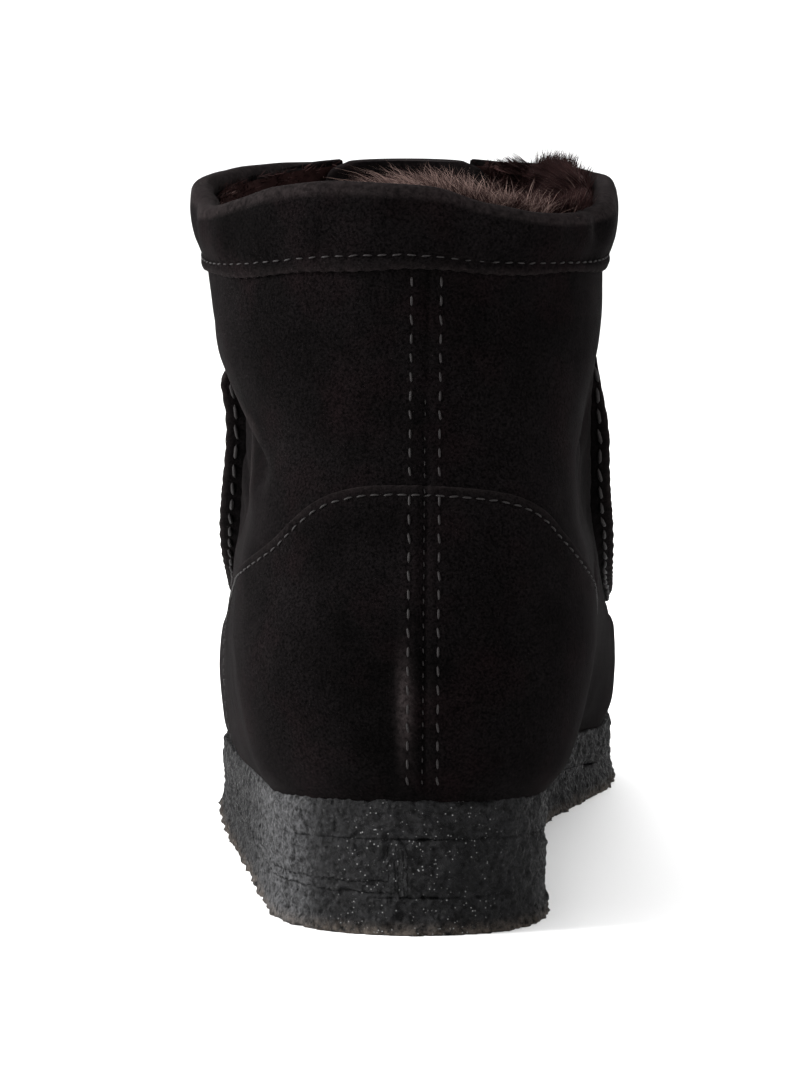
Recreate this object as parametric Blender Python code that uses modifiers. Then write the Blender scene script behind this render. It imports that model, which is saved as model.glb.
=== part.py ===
"""Moccasin boot for the left foot: suede ankle boot, raised moccasin seam, fur lining and crepe wedge sole.

Metres. +Y points to the toe, +X to the inner (medial) side of the foot, +Z up.
The origin is on the floor, half way along the sole and on the heel's middle line.
"""

import math
import random

import bmesh
import bpy
import numpy as np
from mathutils import Vector

# Sizes of the sole
SOLE_LENGTH = 0.270
BALL_WIDTH = 0.096
OUTSOLE_THICKNESS = 0.0078
WEDGE_HEEL_THICKNESS = 0.0122
WEDGE_TIP_THICKNESS = 0.0008
MIDSOLE_THICKNESS = 0.0080
TOE_SPRING = 0.009
LAYER_CHAMFER = 0.0008
TREAD_CHAMFER = 0.0015

# Sizes of the upper and of what lies in it
SHAFT_HEIGHT = 0.130
UPPER_WALL = 0.0022
INSOLE_THICKNESS = 0.005
INSOLE_SIDE_ROOM = 0.0012
TONGUE_THICKNESS = 0.0032

# Sizes of the cuff, the fur, the raised seam and the lace
CUFF_LEATHER = 0.0021
CUFF_RIM_ROOM = 0.0006
FUR_THICKNESS = 0.0048
LOCK_HEIGHT = 0.0050
FUR_ROOM = 0.0009
SEAM_HEIGHT = 0.0045
SEAM_WIDTH = 0.0030
SEAM_SEAT = 0.0005
LACE_DIAMETER = 0.0030
LACE_SEAT = 0.0006
EYELET_DIAMETER = 0.0045

# Room between two pieces that touch
GAP = 0.0003

# Shares of the sole's length at which the wedge runs out and the toe spring starts
WEDGE_END = 0.72
SPRING_START = 0.70

# Turns round each ring from the front to the back: over the plug, then down the side
PLUG_COLUMNS, SIDE_COLUMNS = 3, 19
ROWS_A_RING = 2

# Sections along the sole and the insole, and the least share of the length between two of them
SOLE_SECTIONS, INSOLE_SECTIONS = 50, 36
SECTION_ROOM = 0.01

# Small step along a column or a ring, for slopes
STEP = 0.004

# How far the half width has gone from the heel's to the ball's, along a ring
GIRTH = (
    # share of the length, outer side, inner side at the sole, both sides at the ankle
    (0.00, 0.10, -0.14, 0.00),
    (0.12, 0.22, -0.16, 0.12),
    (0.24, 0.44, -0.24, 0.24),
    (0.35, 0.66, -0.31, 0.33),
    (0.45, 0.85, -0.22, 0.37),
    (0.55, 1.00, -0.01, 0.42),
    (0.64, 1.07, 0.38, 0.60),
    (0.74, 1.05, 0.84, 1.00),
    (0.84, 0.98, 1.00, 1.02),
    (1.00, 0.86, 1.02, 0.86),
)

# Rings of the upper, from the feather line to above the collar. back and front are shares of SOLE_LENGTH
# from the heel, back_rise and front_rise are shares of SHAFT_HEIGHT above the sole, heel and ball are half
# widths as shares of BALL_WIDTH, back_end and front_end are the shares of the ring that its round ends take,
# square is the power of those ends, arch is how much the inner side follows the sole's arch, waist is how
# much both sides follow the ankle, dip lowers the sides, lean moves the ring to the inner side, and throat is
# the opening's edge in degrees from the front.
RING_COLUMNS = (
    "back", "front", "back_rise", "front_rise", "heel", "ball", "back_end", "front_end", "square",
    "arch", "waist", "dip", "lean", "throat",
)
RINGS = (
    # feather line
    (0.004, 0.989, 0.000, 0.000, 0.297, 0.487, 0.12, 0.25, 2.30, 1.0, 0.0, 0.000, 0.000, 15.0),
    # lower bulge
    (-0.011, 0.997, 0.053, 0.045, 0.340, 0.506, 0.13, 0.25, 2.30, 0.85, 0.0, 0.000, 0.000, 15.0),
    # widest line of the wall
    (-0.0185, 0.998, 0.155, 0.110, 0.372, 0.512, 0.14, 0.26, 2.30, 0.74, 0.0, 0.000, -0.004, 15.0),
    # line of the raised seam
    (-0.0175, 0.980, 0.240, 0.180, 0.384, 0.502, 0.15, 0.27, 2.30, 0.54, 0.0, 0.000, -0.008, 15.0),
    # rim of the plug
    (-0.013, 0.952, 0.290, 0.208, 0.384, 0.486, 0.16, 0.30, 2.30, 0.40, 0.0, 0.000, -0.010, 15.0),
    # plug over the toes
    (-0.008, 0.860, 0.345, 0.270, 0.380, 0.468, 0.18, 0.42, 2.15, 0.25, 0.1, 0.000, -0.014, 15.0),
    # plug over the instep
    (0.000, 0.728, 0.400, 0.358, 0.370, 0.450, 0.20, 0.36, 2.20, 0.12, 0.3, 0.000, -0.018, 15.0),
    # foot of the throat
    (0.007, 0.590, 0.455, 0.478, 0.354, 0.426, 0.24, 0.24, 2.50, 0.05, 0.9, 0.000, -0.020, 9.0),
    # ankle
    (0.022, 0.508, 0.575, 0.640, 0.352, 0.416, 0.28, 0.27, 2.40, 0.0, 1.0, 0.000, -0.016, 10.5),
    # lower shaft
    (0.0295, 0.460, 0.710, 0.800, 0.410, 0.446, 0.36, 0.34, 2.25, 0.0, 0.35, -0.010, -0.034, 13.0),
    # foot of the cuff
    (0.0315, 0.435, 0.868, 0.962, 0.450, 0.456, 0.46, 0.44, 2.15, 0.0, 0.0, -0.024, -0.043, 16.0),
    # collar
    (0.037, 0.422, 0.980, 1.075, 0.466, 0.466, 0.50, 0.50, 2.15, 0.0, 0.0, -0.032, -0.045, 18.0),
    # above the collar
    (0.039, 0.418, 1.050, 1.145, 0.468, 0.468, 0.50, 0.50, 2.15, 0.0, 0.0, -0.032, -0.045, 18.0),
)
THROAT_RING, CUFF_RING, COLLAR_RING, TOP_RING = 7, 10, 11, 12
THROAT_COLUMN = math.radians(15.0)

# How far the collar falls behind each side of the ankle, below the line of its ring
COLLAR_FALL = (
    # degrees from the front, + on the inner side, share of SHAFT_HEIGHT
    (-180.0, 0.000),
    (-160.0, 0.000),
    (-145.0, 0.014),
    (-128.0, 0.034),
    (-112.0, 0.038),
    (-95.0, 0.014),
    (-80.0, 0.000),
    (-60.0, 0.000),
    (60.0, 0.000),
    (80.0, 0.000),
    (98.0, 0.012),
    (115.0, 0.034),
    (130.0, 0.040),
    (145.0, 0.035),
    (158.0, 0.019),
    (170.0, 0.004),
    (180.0, 0.000),
)

# The sole's outline, as a ring of the same kind
SOLE_OUTLINE = dict(
    back=0.0, front=1.0, heel=0.305, ball=0.500, back_end=0.12, front_end=0.25, square=2.3,
    arch=1.0, waist=0.0,
)

# The raised seam's line, from the middle of the toe up the side of the instep
SEAM_LINE = (
    # degrees from the front, ring
    (0.0, 3.90),
    (18.0, 3.90),
    (34.0, 3.95),
    (48.0, 4.10),
    (57.0, 4.40),
    (62.5, 4.80),
    (64.5, 5.40),
    (64.0, 6.20),
    (62.5, 7.00),
    (61.0, 7.80),
    (60.0, 8.65),
)
SEAM_STEPS = 34

# The seam's section from its foot round its top, and how much of its height its ends have
SEAM_SECTION = (
    # share of the width, share of the height
    (-0.50, 0.00),
    (-0.50, 0.75),
    (-0.28, 1.00),
    (0.28, 1.00),
    (0.50, 0.75),
    (0.50, 0.00),
)
SEAM_END_HEIGHT = 0.45

# The tongue: half width in degrees from the front, from its foot under the plug to its end
TONGUE_LINE = (
    # ring, half width
    (6.35, 17.0),
    (7.20, 19.0),
    (8.60, 22.0),
    (9.80, 25.0),
    (10.5, 25.0),
    (10.9, 22.0),
    (11.05, 15.0),
)
TONGUE_ROWS, TONGUE_COLUMNS = 17, 9

# Where the eyelets are, and how the lace runs between them
EYELET_RINGS = (7.45, 8.55, 9.60)
EYELET_EDGE = math.radians(7.5)
LACE_POINTS = 11
LACE_CROSSING_LIFT = 0.25

# The fur: the ring at its foot and the ring from which it is full, where it starts beside the throat,
# how much thicker it is on the inner side, and the heights of its locks and of the dips between them
FUR_FOOT_RING = 8.5
FUR_FULL_RING = 9.8
FUR_START = math.radians(29.0)
FUR_INNER_EXTRA = 0.6
LOCKS = 40
LOCK_SHARES = (0.6, 1.0)
DIP_SHARES = (0.1, 0.3)

# Base colour, roughness and metallic value
MATERIALS = {
    "black_suede": ((0.012, 0.011, 0.011), 0.95, 0.0),
    "black_crepe": ((0.020, 0.020, 0.021), 0.50, 0.0),
    "dark_fur": ((0.030, 0.022, 0.020), 0.90, 0.0),
    "black_cord": ((0.010, 0.010, 0.010), 0.85, 0.0),
}


def through(xs, ys, x):
    """Smooth curve through the points (xs, ys), read at x."""
    xs, ys, x = (np.asarray(values, float) for values in (xs, ys, x))
    slopes = np.gradient(ys, xs)
    i = np.clip(np.searchsorted(xs, x, side="right") - 1, 0, len(xs) - 2)
    span = xs[i + 1] - xs[i]
    t = (x - xs[i]) / span
    ends = (2 * t**3 - 3 * t**2 + 1) * ys[i] + (3 * t**2 - 2 * t**3) * ys[i + 1]
    return ends + ((t**3 - 2 * t**2 + t) * slopes[i] + (t**3 - t**2) * slopes[i + 1]) * span


def station(share):
    """Y of a share of the sole's length from the heel."""
    return (np.asarray(share, float) - 0.5) * SOLE_LENGTH


def tread_height(y):
    """Height of the outsole's underside: flat to the ball, then the toe spring."""
    past = (y / SOLE_LENGTH + 0.5 - SPRING_START) / (1 - SPRING_START)
    return TOE_SPRING * np.clip(past, 0.0, None) ** 2


def wedge_thickness(y):
    """The wedge falls evenly from the heel to nothing at WEDGE_END."""
    return WEDGE_HEEL_THICKNESS * np.clip(1 - (y / SOLE_LENGTH + 0.5) / WEDGE_END, 0.0, None)


def outsole_top(y):
    return tread_height(y) + OUTSOLE_THICKNESS


def wedge_top(y):
    return outsole_top(y) + GAP + wedge_thickness(y)


def midsole_foot(y):
    """The midsole rests on the wedge, and past its end on the outsole."""
    on_wedge = np.minimum(wedge_thickness(y) / WEDGE_TIP_THICKNESS, 1.0) * GAP
    return outsole_top(y) + GAP + wedge_thickness(y) + on_wedge


def midsole_top(y):
    return midsole_foot(y) + MIDSOLE_THICKNESS


def round_end(share, length, power):
    """1 along the ring, falling to 0 at its end as a superellipse."""
    inside = np.clip(1 - share / length, 0.0, 1.0)
    return (1 - inside**power) ** (1 / power)


def half_width(share, inner, ring):
    """Half width at a share of the ring's length; inner is true on the inner side of the foot."""
    shares, outer_girth, sole_girth, ankle_girth = np.array(GIRTH).T
    outer_side = through(shares, outer_girth, share)
    outer_side = outer_side + (through(shares, ankle_girth, share) - outer_side) * ring["waist"]
    inner_side = outer_side + (through(shares, sole_girth, share) - outer_side) * ring["arch"]
    girth = np.where(inner, inner_side, outer_side)
    back_end = round_end(share, ring["back_end"], ring["square"])
    front_end = round_end(1 - share, ring["front_end"], ring["square"])
    return (ring["heel"] + (ring["ball"] - ring["heel"]) * girth) * back_end * front_end * BALL_WIDTH


def wrapped(column):
    """Turns outside one round brought back to it."""
    return (np.asarray(column, float) + math.pi) % (2 * math.pi) - math.pi


def ring_turn(column, throat):
    """A column's turn on its own ring, so that one column keeps to the throat's edge on every ring."""
    side = np.abs(column)
    beside = throat + (side - THROAT_COLUMN) * (math.pi - throat) / (math.pi - THROAT_COLUMN)
    return np.copysign(np.where(side < THROAT_COLUMN, side * throat / THROAT_COLUMN, beside), column)


def surface(column, ring):
    """Point of the upper's outer face. column turns from 0, front, to pi, back, + on the inner side."""
    column, ring = np.broadcast_arrays(wrapped(column), np.asarray(ring, float))
    values = (through(range(len(RINGS)), column_values, ring) for column_values in np.array(RINGS).T)
    row = dict(zip(RING_COLUMNS, values))
    turn = ring_turn(column, np.radians(row["throat"]))
    share = (1 + np.cos(turn)) / 2
    inner = turn > 0
    x = np.where(inner, 1, -1) * half_width(share, inner, row) + row["lean"] * BALL_WIDTH
    y = station(row["back"] + (row["front"] - row["back"]) * share)
    rise = row["back_rise"] + (row["front_rise"] - row["back_rise"]) * share
    rise = rise + row["dip"] * 4 * share * (1 - share)
    turns, falls = np.array(COLLAR_FALL).T
    rise = rise - through(turns, falls, np.degrees(column)) * np.clip(ring - CUFF_RING, 0, 1)
    return np.stack([x, y, midsole_top(y) + GAP + rise * SHAFT_HEIGHT], axis=-1)


def outward(column, ring):
    """Unit normal of the upper's outer face."""
    along = surface(column + STEP, ring) - surface(column - STEP, ring)
    ring = np.clip(ring, STEP, TOP_RING - STEP)
    up = surface(column, ring + STEP) - surface(column, ring - STEP)
    out = np.cross(up, along)
    return out / np.linalg.norm(out, axis=-1, keepdims=True)


def off_surface(column, ring, out, rise=0.0):
    """Point at a distance outside the upper's outer face, or inside it where out is negative, then raised."""
    given = (np.asarray(values, float) for values in (column, ring, out, rise))
    column, ring, out, rise = np.broadcast_arrays(*given)
    point = surface(column, ring) + outward(column, ring) * out[..., None]
    point[..., 2] += rise
    return point


def material(name):
    made = bpy.data.materials.get(name)
    if made is None:
        colour, roughness, metallic = MATERIALS[name]
        made = bpy.data.materials.new(name)
        made.use_nodes = True
        shader = made.node_tree.nodes["Principled BSDF"]
        shader.inputs["Base Color"].default_value = (*colour, 1.0)
        shader.inputs["Roughness"].default_value = roughness
        shader.inputs["Metallic"].default_value = metallic
    return made


def collection(name):
    made = bpy.data.collections.new(name)
    bpy.context.scene.collection.children.link(made)
    return made


def add_object(name, mesh, finish, into):
    mesh.shade_smooth()
    if finish:
        mesh.materials.append(material(finish))
    made = bpy.data.objects.new(name, mesh)
    into.objects.link(made)
    return made


def merged_mesh(name, points, faces, closed):
    """A mesh from points and faces, with doubles merged and, if it is closed, its faces turned outwards."""
    mesh = bpy.data.meshes.new(name)
    mesh.from_pydata([tuple(point) for point in points], [], faces)
    work = bmesh.new()
    work.from_mesh(mesh)
    bmesh.ops.remove_doubles(work, verts=work.verts, dist=1e-6)
    loose = [vert for vert in work.verts if not vert.link_faces]
    bmesh.ops.delete(work, geom=loose, context="VERTS")
    if closed:
        bmesh.ops.recalc_face_normals(work, faces=work.faces)
    work.to_mesh(mesh)
    work.free()
    return mesh


def grid_faces(rows, columns, keep=None, wrap=False):
    """Quads of a grid of points, facing so that up the rows and then along the columns turns outwards."""
    faces = []
    for row in range(rows - 1):
        for column in range(columns if wrap else columns - 1):
            if keep is None or keep(row, column):
                low, high, beside = row * columns, (row + 1) * columns, (column + 1) % columns
                faces.append((low + column, high + column, high + beside, low + beside))
    return faces


def lofted(name, sections, finish, into):
    """Closed solid through sections of the same number of points, with an end face on the first and last."""
    count, size = len(sections), len(sections[0])
    faces = grid_faces(count, size, wrap=True)
    faces += [tuple(range(size)), tuple((count - 1) * size + i for i in range(size))]
    return add_object(name, merged_mesh(name, np.concatenate(sections), faces, closed=True), finish, into)


def columns_round():
    """Turns of the grid's columns all the way round, closer together at the front."""
    plug = np.linspace(0, THROAT_COLUMN, PLUG_COLUMNS + 1)
    side = np.linspace(THROAT_COLUMN, math.pi, SIDE_COLUMNS + 1)[1:]
    half = np.concatenate([plug, side])
    return np.concatenate([-half[:0:-1], half])


def plan_edge(outline, share, inner, inset):
    """X and Y on an outline seen from above, moved in by a distance."""
    turn = math.acos(2 * share - 1)
    side = 1 if inner else -1

    def point(turn):
        at = (1 + math.cos(turn)) / 2
        mirrored = -1 if turn < 0 or turn > math.pi else 1
        x = side * mirrored * half_width(at, np.array(inner), outline)
        return np.array([x, station(outline["back"] + (outline["front"] - outline["back"]) * at)], float)

    along = point(turn + STEP) - point(turn - STEP)
    out = side * np.array([-along[1], along[0]]) / np.linalg.norm(along)
    return point(turn) - out * inset


def crepe_layer(name, foot, top, foot_chamfer, last_share, into):
    """A layer of the sole between two heights given as functions of Y, from the heel to last_share."""
    shares = (1 - np.cos(np.linspace(0, math.pi, SOLE_SECTIONS))) / 2
    shares = np.append(shares[shares < last_share - SECTION_ROOM], last_share)
    sections = []
    for share in shares:
        section = []
        for inner in (False, True):
            edge = []
            for inset, above_foot, below_top in (
                (foot_chamfer, 0.0, None),
                (0.0, foot_chamfer, None),
                (0.0, None, LAYER_CHAMFER),
                (LAYER_CHAMFER, None, 0.0),
            ):
                x, y = plan_edge(SOLE_OUTLINE, share, inner, inset)
                z = foot(y) + above_foot if below_top is None else top(y) - below_top
                edge.append((x, y, z))
            section += edge[::-1] if inner else edge
        sections.append(section)
    return lofted(name, sections, "black_crepe", into)


def make_sole(into):
    wedge_tip = WEDGE_END * (1 - WEDGE_TIP_THICKNESS / WEDGE_HEEL_THICKNESS)
    tip_chamfer = WEDGE_TIP_THICKNESS / 3
    crepe_layer("outsole", tread_height, outsole_top, TREAD_CHAMFER, 1.0, into)
    crepe_layer("heel_wedge", lambda y: outsole_top(y) + GAP, wedge_top, tip_chamfer, wedge_tip, into)
    crepe_layer("midsole", midsole_foot, midsole_top, LAYER_CHAMFER, 1.0, into)


def eyelet_places():
    """Column and ring of each eyelet."""
    return [(side * (THROAT_COLUMN + EYELET_EDGE), ring) for ring in EYELET_RINGS for side in (-1, 1)]


def make_upper(into, cutters):
    """The hollow upper: a skin on the rings, open at throat, collar and foot, with its wall inwards."""
    columns = columns_round()
    rings = np.linspace(0, COLLAR_RING, COLLAR_RING * ROWS_A_RING + 1)
    points = surface(columns[None, :], rings[:, None]).reshape(-1, 3)
    middles = (columns[1:] + columns[:-1]) / 2

    def is_skin(row, column):
        return rings[row] < THROAT_RING or abs(middles[column]) > THROAT_COLUMN

    faces = grid_faces(len(rings), len(columns), keep=is_skin)
    upper = add_object("upper", merged_mesh("upper", points, faces, closed=False), "black_suede", into)
    wall = upper.modifiers.new("wall", "SOLIDIFY")
    wall.thickness = UPPER_WALL
    wall.offset = -1.0
    for number, (column, ring) in enumerate(eyelet_places()):
        middle = Vector(off_surface(column, ring, -UPPER_WALL / 2))
        axis = Vector(outward(np.array(column), np.array(ring)))
        bpy.ops.mesh.primitive_cylinder_add(vertices=12, radius=EYELET_DIAMETER / 2, depth=4 * UPPER_WALL)
        cutter = bpy.context.object
        cutter.name = f"eyelet_cutter_{number + 1}"
        cutter.location = middle
        cutter.rotation_mode = "QUATERNION"
        cutter.rotation_quaternion = Vector((0, 0, 1)).rotation_difference(axis)
        for held_in in list(cutter.users_collection):
            held_in.objects.unlink(cutter)
        cutters.objects.link(cutter)
        cutter.hide_render = True
        cutter.display_type = "WIRE"
        hole = upper.modifiers.new(f"eyelet {number + 1}", "BOOLEAN")
        hole.operation = "DIFFERENCE"
        hole.object = cutter


def make_cuff(into):
    """Band folded over the rim: a hook-shaped section carried round the collar."""
    columns = columns_round()
    columns = columns[np.abs(columns) > THROAT_COLUMN - 1e-6]
    columns = np.concatenate([columns[columns > 0], columns[columns < 0][1:] + 2 * math.pi])
    leather, rim = CUFF_LEATHER, CUFF_RIM_ROOM
    middle = (CUFF_RING + COLLAR_RING) / 2
    hook = (
        # distance out, ring, rise
        (GAP, CUFF_RING, 0.0),
        (GAP + 0.3 * leather, CUFF_RING, -0.15 * leather),
        (GAP + 0.6 * leather, CUFF_RING, 0.25 * leather),
        (GAP + 1.15 * leather, middle, 0.0),
        (GAP + leather, COLLAR_RING, 0.0),
        (GAP + 0.5 * leather, COLLAR_RING, rim + 0.8 * leather),
        (-0.45 * UPPER_WALL, COLLAR_RING, rim + leather),
        (-0.95 * UPPER_WALL, COLLAR_RING, rim + 0.5 * leather),
        (-0.85 * UPPER_WALL, COLLAR_RING, rim),
        (GAP, COLLAR_RING, rim),
        (GAP, middle, 0.0),
    )
    out, ring, rise = (np.array(values, float) for values in zip(*hook))
    sections = [off_surface(column, ring, out, rise) for column in columns]
    lofted("collar_cuff", sections, "black_suede", into)


def make_seam(into):
    """Raised seam where wall and plug are sewn edge to edge: a ridge standing on its line."""
    degrees, rings = np.array(SEAM_LINE).T
    line = np.linspace(0, len(SEAM_LINE) - 1, SEAM_STEPS + 1)
    side = np.radians(through(range(len(SEAM_LINE)), degrees, line))
    columns = np.concatenate([-side[:0:-1], side])
    ring = through(range(len(SEAM_LINE)), rings, line)
    ring = np.concatenate([ring[:0:-1], ring])
    path = off_surface(columns, ring, SEAM_SEAT)
    out = outward(columns, ring)
    along = np.gradient(path, axis=0)
    across = np.cross(out, along)
    across /= np.linalg.norm(across, axis=1, keepdims=True)
    height = np.full(len(path), SEAM_HEIGHT)
    height[[0, -1]] *= SEAM_END_HEIGHT
    sections = []
    for i, point in enumerate(path):
        section = [point + across[i] * w * SEAM_WIDTH + out[i] * h * height[i] for w, h in SEAM_SECTION]
        sections.append(section)
    lofted("apron_seam", sections, "black_suede", into)


def make_tongue(into):
    """Tongue under the throat, from beneath the plug to the collar."""
    rings, widths = np.array(TONGUE_LINE).T
    line = np.linspace(0, len(TONGUE_LINE) - 1, TONGUE_ROWS)
    ring = through(range(len(TONGUE_LINE)), rings, line)
    width = np.radians(through(range(len(TONGUE_LINE)), widths, line))
    columns = width[:, None] * np.linspace(-1, 1, TONGUE_COLUMNS)[None, :]
    ring = np.broadcast_to(ring[:, None], columns.shape)
    face = off_surface(columns, ring, -(UPPER_WALL + 2 * GAP))
    lining = off_surface(columns, ring, -(UPPER_WALL + 2 * GAP + TONGUE_THICKNESS))
    sections = [np.concatenate([face[row], lining[row, ::-1]]) for row in range(TONGUE_ROWS)]
    lofted("tongue", sections, "black_suede", into)


def make_insole(into):
    """Insole on the midsole, inside the upper's foot."""
    shares = (1 - np.cos(np.linspace(0, math.pi, INSOLE_SECTIONS))) / 2
    feather = dict(zip(RING_COLUMNS, RINGS[0]))
    inset = UPPER_WALL + INSOLE_SIDE_ROOM
    sections = []
    for share in shares:
        outer, inner = (plan_edge(feather, share, side, inset) for side in (False, True))
        low = [(*outer, midsole_top(outer[1]) + GAP), (*inner, midsole_top(inner[1]) + GAP)]
        high = [(x, y, z + INSOLE_THICKNESS) for x, y, z in reversed(low)]
        sections.append(low + high)
    lofted("insole", sections, "dark_fur", into)


def make_fur(into):
    """Fur at the collar: a lining round the inside with its locks standing past the rim."""
    chance = random.Random(7)
    columns = np.linspace(FUR_START, 2 * math.pi - FUR_START, 2 * LOCKS + 1)
    skin_rings = np.arange(COLLAR_RING, FUR_FOOT_RING - 0.01, -1 / ROWS_A_RING)
    face = -(UPPER_WALL + FUR_ROOM)
    sections = []
    for i, column in enumerate(columns):
        thick = 1 + FUR_INNER_EXTRA * max(math.sin(column), 0.0)
        lock = LOCK_HEIGHT * thick * chance.uniform(*(LOCK_SHARES if i % 2 else DIP_SHARES))
        fall = FUR_THICKNESS * (chance.uniform(*LOCK_SHARES) if i % 2 else 0.75)
        profile = [
            # distance out, ring, rise
            (face - 0.8 * FUR_THICKNESS, FUR_FOOT_RING, -0.3 * lock),
            (face - fall, FUR_FULL_RING, 0.0),
            (face - fall, COLLAR_RING, 0.0),
            (face - 0.5 * FUR_THICKNESS, COLLAR_RING, 0.2 * CUFF_LEATHER + lock),
            (face - 0.1 * FUR_THICKNESS, COLLAR_RING, 0.2 * CUFF_LEATHER + 0.3 * lock),
        ]
        profile += [(face, ring, 0.0) for ring in skin_rings]
        out, ring, rise = (np.array(values, float) for values in zip(*profile))
        sections.append(off_surface(column, ring, out, rise))
    lofted("fleece_lining", sections, "dark_fur", into)


def cord_mesh(name, points, diameter):
    """A tube through points, as a closed mesh."""
    curve = bpy.data.curves.new(name, "CURVE")
    curve.dimensions = "3D"
    curve.bevel_depth = diameter / 2
    curve.bevel_resolution = 1
    curve.use_fill_caps = True
    spline = curve.splines.new("POLY")
    spline.points.add(len(points) - 1)
    for place, point in zip(spline.points, points):
        place.co = (*point, 1.0)
    guide = bpy.data.objects.new(name, curve)
    bpy.context.scene.collection.objects.link(guide)
    bpy.context.view_layer.update()
    mesh = bpy.data.meshes.new_from_object(guide.evaluated_get(bpy.context.evaluated_depsgraph_get()))
    bpy.data.objects.remove(guide)
    work = bmesh.new()
    work.from_mesh(mesh)
    bmesh.ops.remove_doubles(work, verts=work.verts, dist=1e-6)
    bmesh.ops.recalc_face_normals(work, faces=work.faces)
    work.to_mesh(mesh)
    work.free()
    return mesh


def make_lace(into, cutters):
    """The lace over the throat: a bar at the lowest pair of eyelets, then crossings up to the top pair."""
    side = THROAT_COLUMN + EYELET_EDGE
    runs = [((-side, EYELET_RINGS[0]), (side, EYELET_RINGS[0]))]
    for low, high in zip(EYELET_RINGS, EYELET_RINGS[1:]):
        runs += [((-side, low), (side, high)), ((side, low), (-side, high))]
    lace = None
    for number, (start, end) in enumerate(runs):
        share = np.linspace(0, 1, LACE_POINTS)
        columns = start[0] + (end[0] - start[0]) * share
        rings = start[1] + (end[1] - start[1]) * share
        height = LACE_SEAT + LACE_DIAMETER * (0.5 + LACE_CROSSING_LIFT * (number % 2))
        mesh = cord_mesh("lace", off_surface(columns, rings, height), LACE_DIAMETER)
        if lace is None:
            lace = add_object("lace", mesh, "black_cord", into)
            continue
        run = add_object(f"lace_run_{number + 1}", mesh, None, cutters)
        run.hide_render = True
        run.display_type = "WIRE"
        join = lace.modifiers.new(run.name, "BOOLEAN")
        join.operation = "UNION"
        join.object = run


def main():
    for old in list(bpy.data.objects):
        bpy.data.objects.remove(old)
    boot = collection("moccasin_boot")
    cutters = collection("cutters")
    make_sole(boot)
    make_upper(boot, cutters)
    make_cuff(boot)
    make_seam(boot)
    make_tongue(boot)
    make_insole(boot)
    make_fur(boot)
    make_lace(boot, cutters)


main()
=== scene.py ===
"""Looks of a black suede moccasin boot for the left foot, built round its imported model.

Metres, in the model's own frame: +Y points to the toe, +X to the inner side of the foot, +Z up.
"""

import math

import bmesh
import bpy
import numpy as np
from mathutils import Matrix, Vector, noise


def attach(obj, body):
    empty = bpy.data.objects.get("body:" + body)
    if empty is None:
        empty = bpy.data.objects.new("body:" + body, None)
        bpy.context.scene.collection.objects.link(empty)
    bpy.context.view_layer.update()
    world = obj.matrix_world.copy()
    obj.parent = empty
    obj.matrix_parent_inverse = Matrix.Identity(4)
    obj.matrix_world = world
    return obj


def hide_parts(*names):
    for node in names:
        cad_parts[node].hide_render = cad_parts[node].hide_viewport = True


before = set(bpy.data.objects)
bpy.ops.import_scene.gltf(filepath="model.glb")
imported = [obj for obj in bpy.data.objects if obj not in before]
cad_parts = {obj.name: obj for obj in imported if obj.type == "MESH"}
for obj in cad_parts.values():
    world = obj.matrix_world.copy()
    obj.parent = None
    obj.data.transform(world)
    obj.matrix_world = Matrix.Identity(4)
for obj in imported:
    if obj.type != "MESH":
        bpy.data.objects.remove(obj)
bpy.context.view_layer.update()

MM = 0.001

# Sizes of the boot, the same as its solids have
SOLE_LENGTH = 0.270
BALL_WIDTH = 0.096
OUTSOLE_THICKNESS = 0.0078
WEDGE_HEEL_THICKNESS = 0.0122
WEDGE_TIP_THICKNESS = 0.0008
MIDSOLE_THICKNESS = 0.0080
TOE_SPRING = 0.009
SHAFT_HEIGHT = 0.130
UPPER_WALL = 0.0022
INSOLE_THICKNESS = 0.005
TONGUE_THICKNESS = 0.0032
SEAM_HEIGHT = 0.0045
SEAM_WIDTH = 0.0030
LACE_DIAMETER = 0.0030
EYELET_DIAMETER = 0.0045
GAP = 0.0003
WEDGE_END = 0.72
SPRING_START = 0.70

# Small step along a column or a ring, for slopes
STEP = 0.004

# Distances within which points become one
WELD, FINE_WELD = 1e-6, 1e-7

# How far the half width has gone from the heel's to the ball's, along a ring
GIRTH = (
    # share of the length, outer side, inner side at the sole, both sides at the ankle
    (0.00, 0.10, -0.14, 0.00),
    (0.12, 0.22, -0.16, 0.12),
    (0.24, 0.44, -0.24, 0.24),
    (0.35, 0.66, -0.31, 0.33),
    (0.45, 0.85, -0.22, 0.37),
    (0.55, 1.00, -0.01, 0.42),
    (0.64, 1.07, 0.38, 0.60),
    (0.74, 1.05, 0.84, 1.00),
    (0.84, 0.98, 1.00, 1.02),
    (1.00, 0.86, 1.02, 0.86),
)

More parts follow.
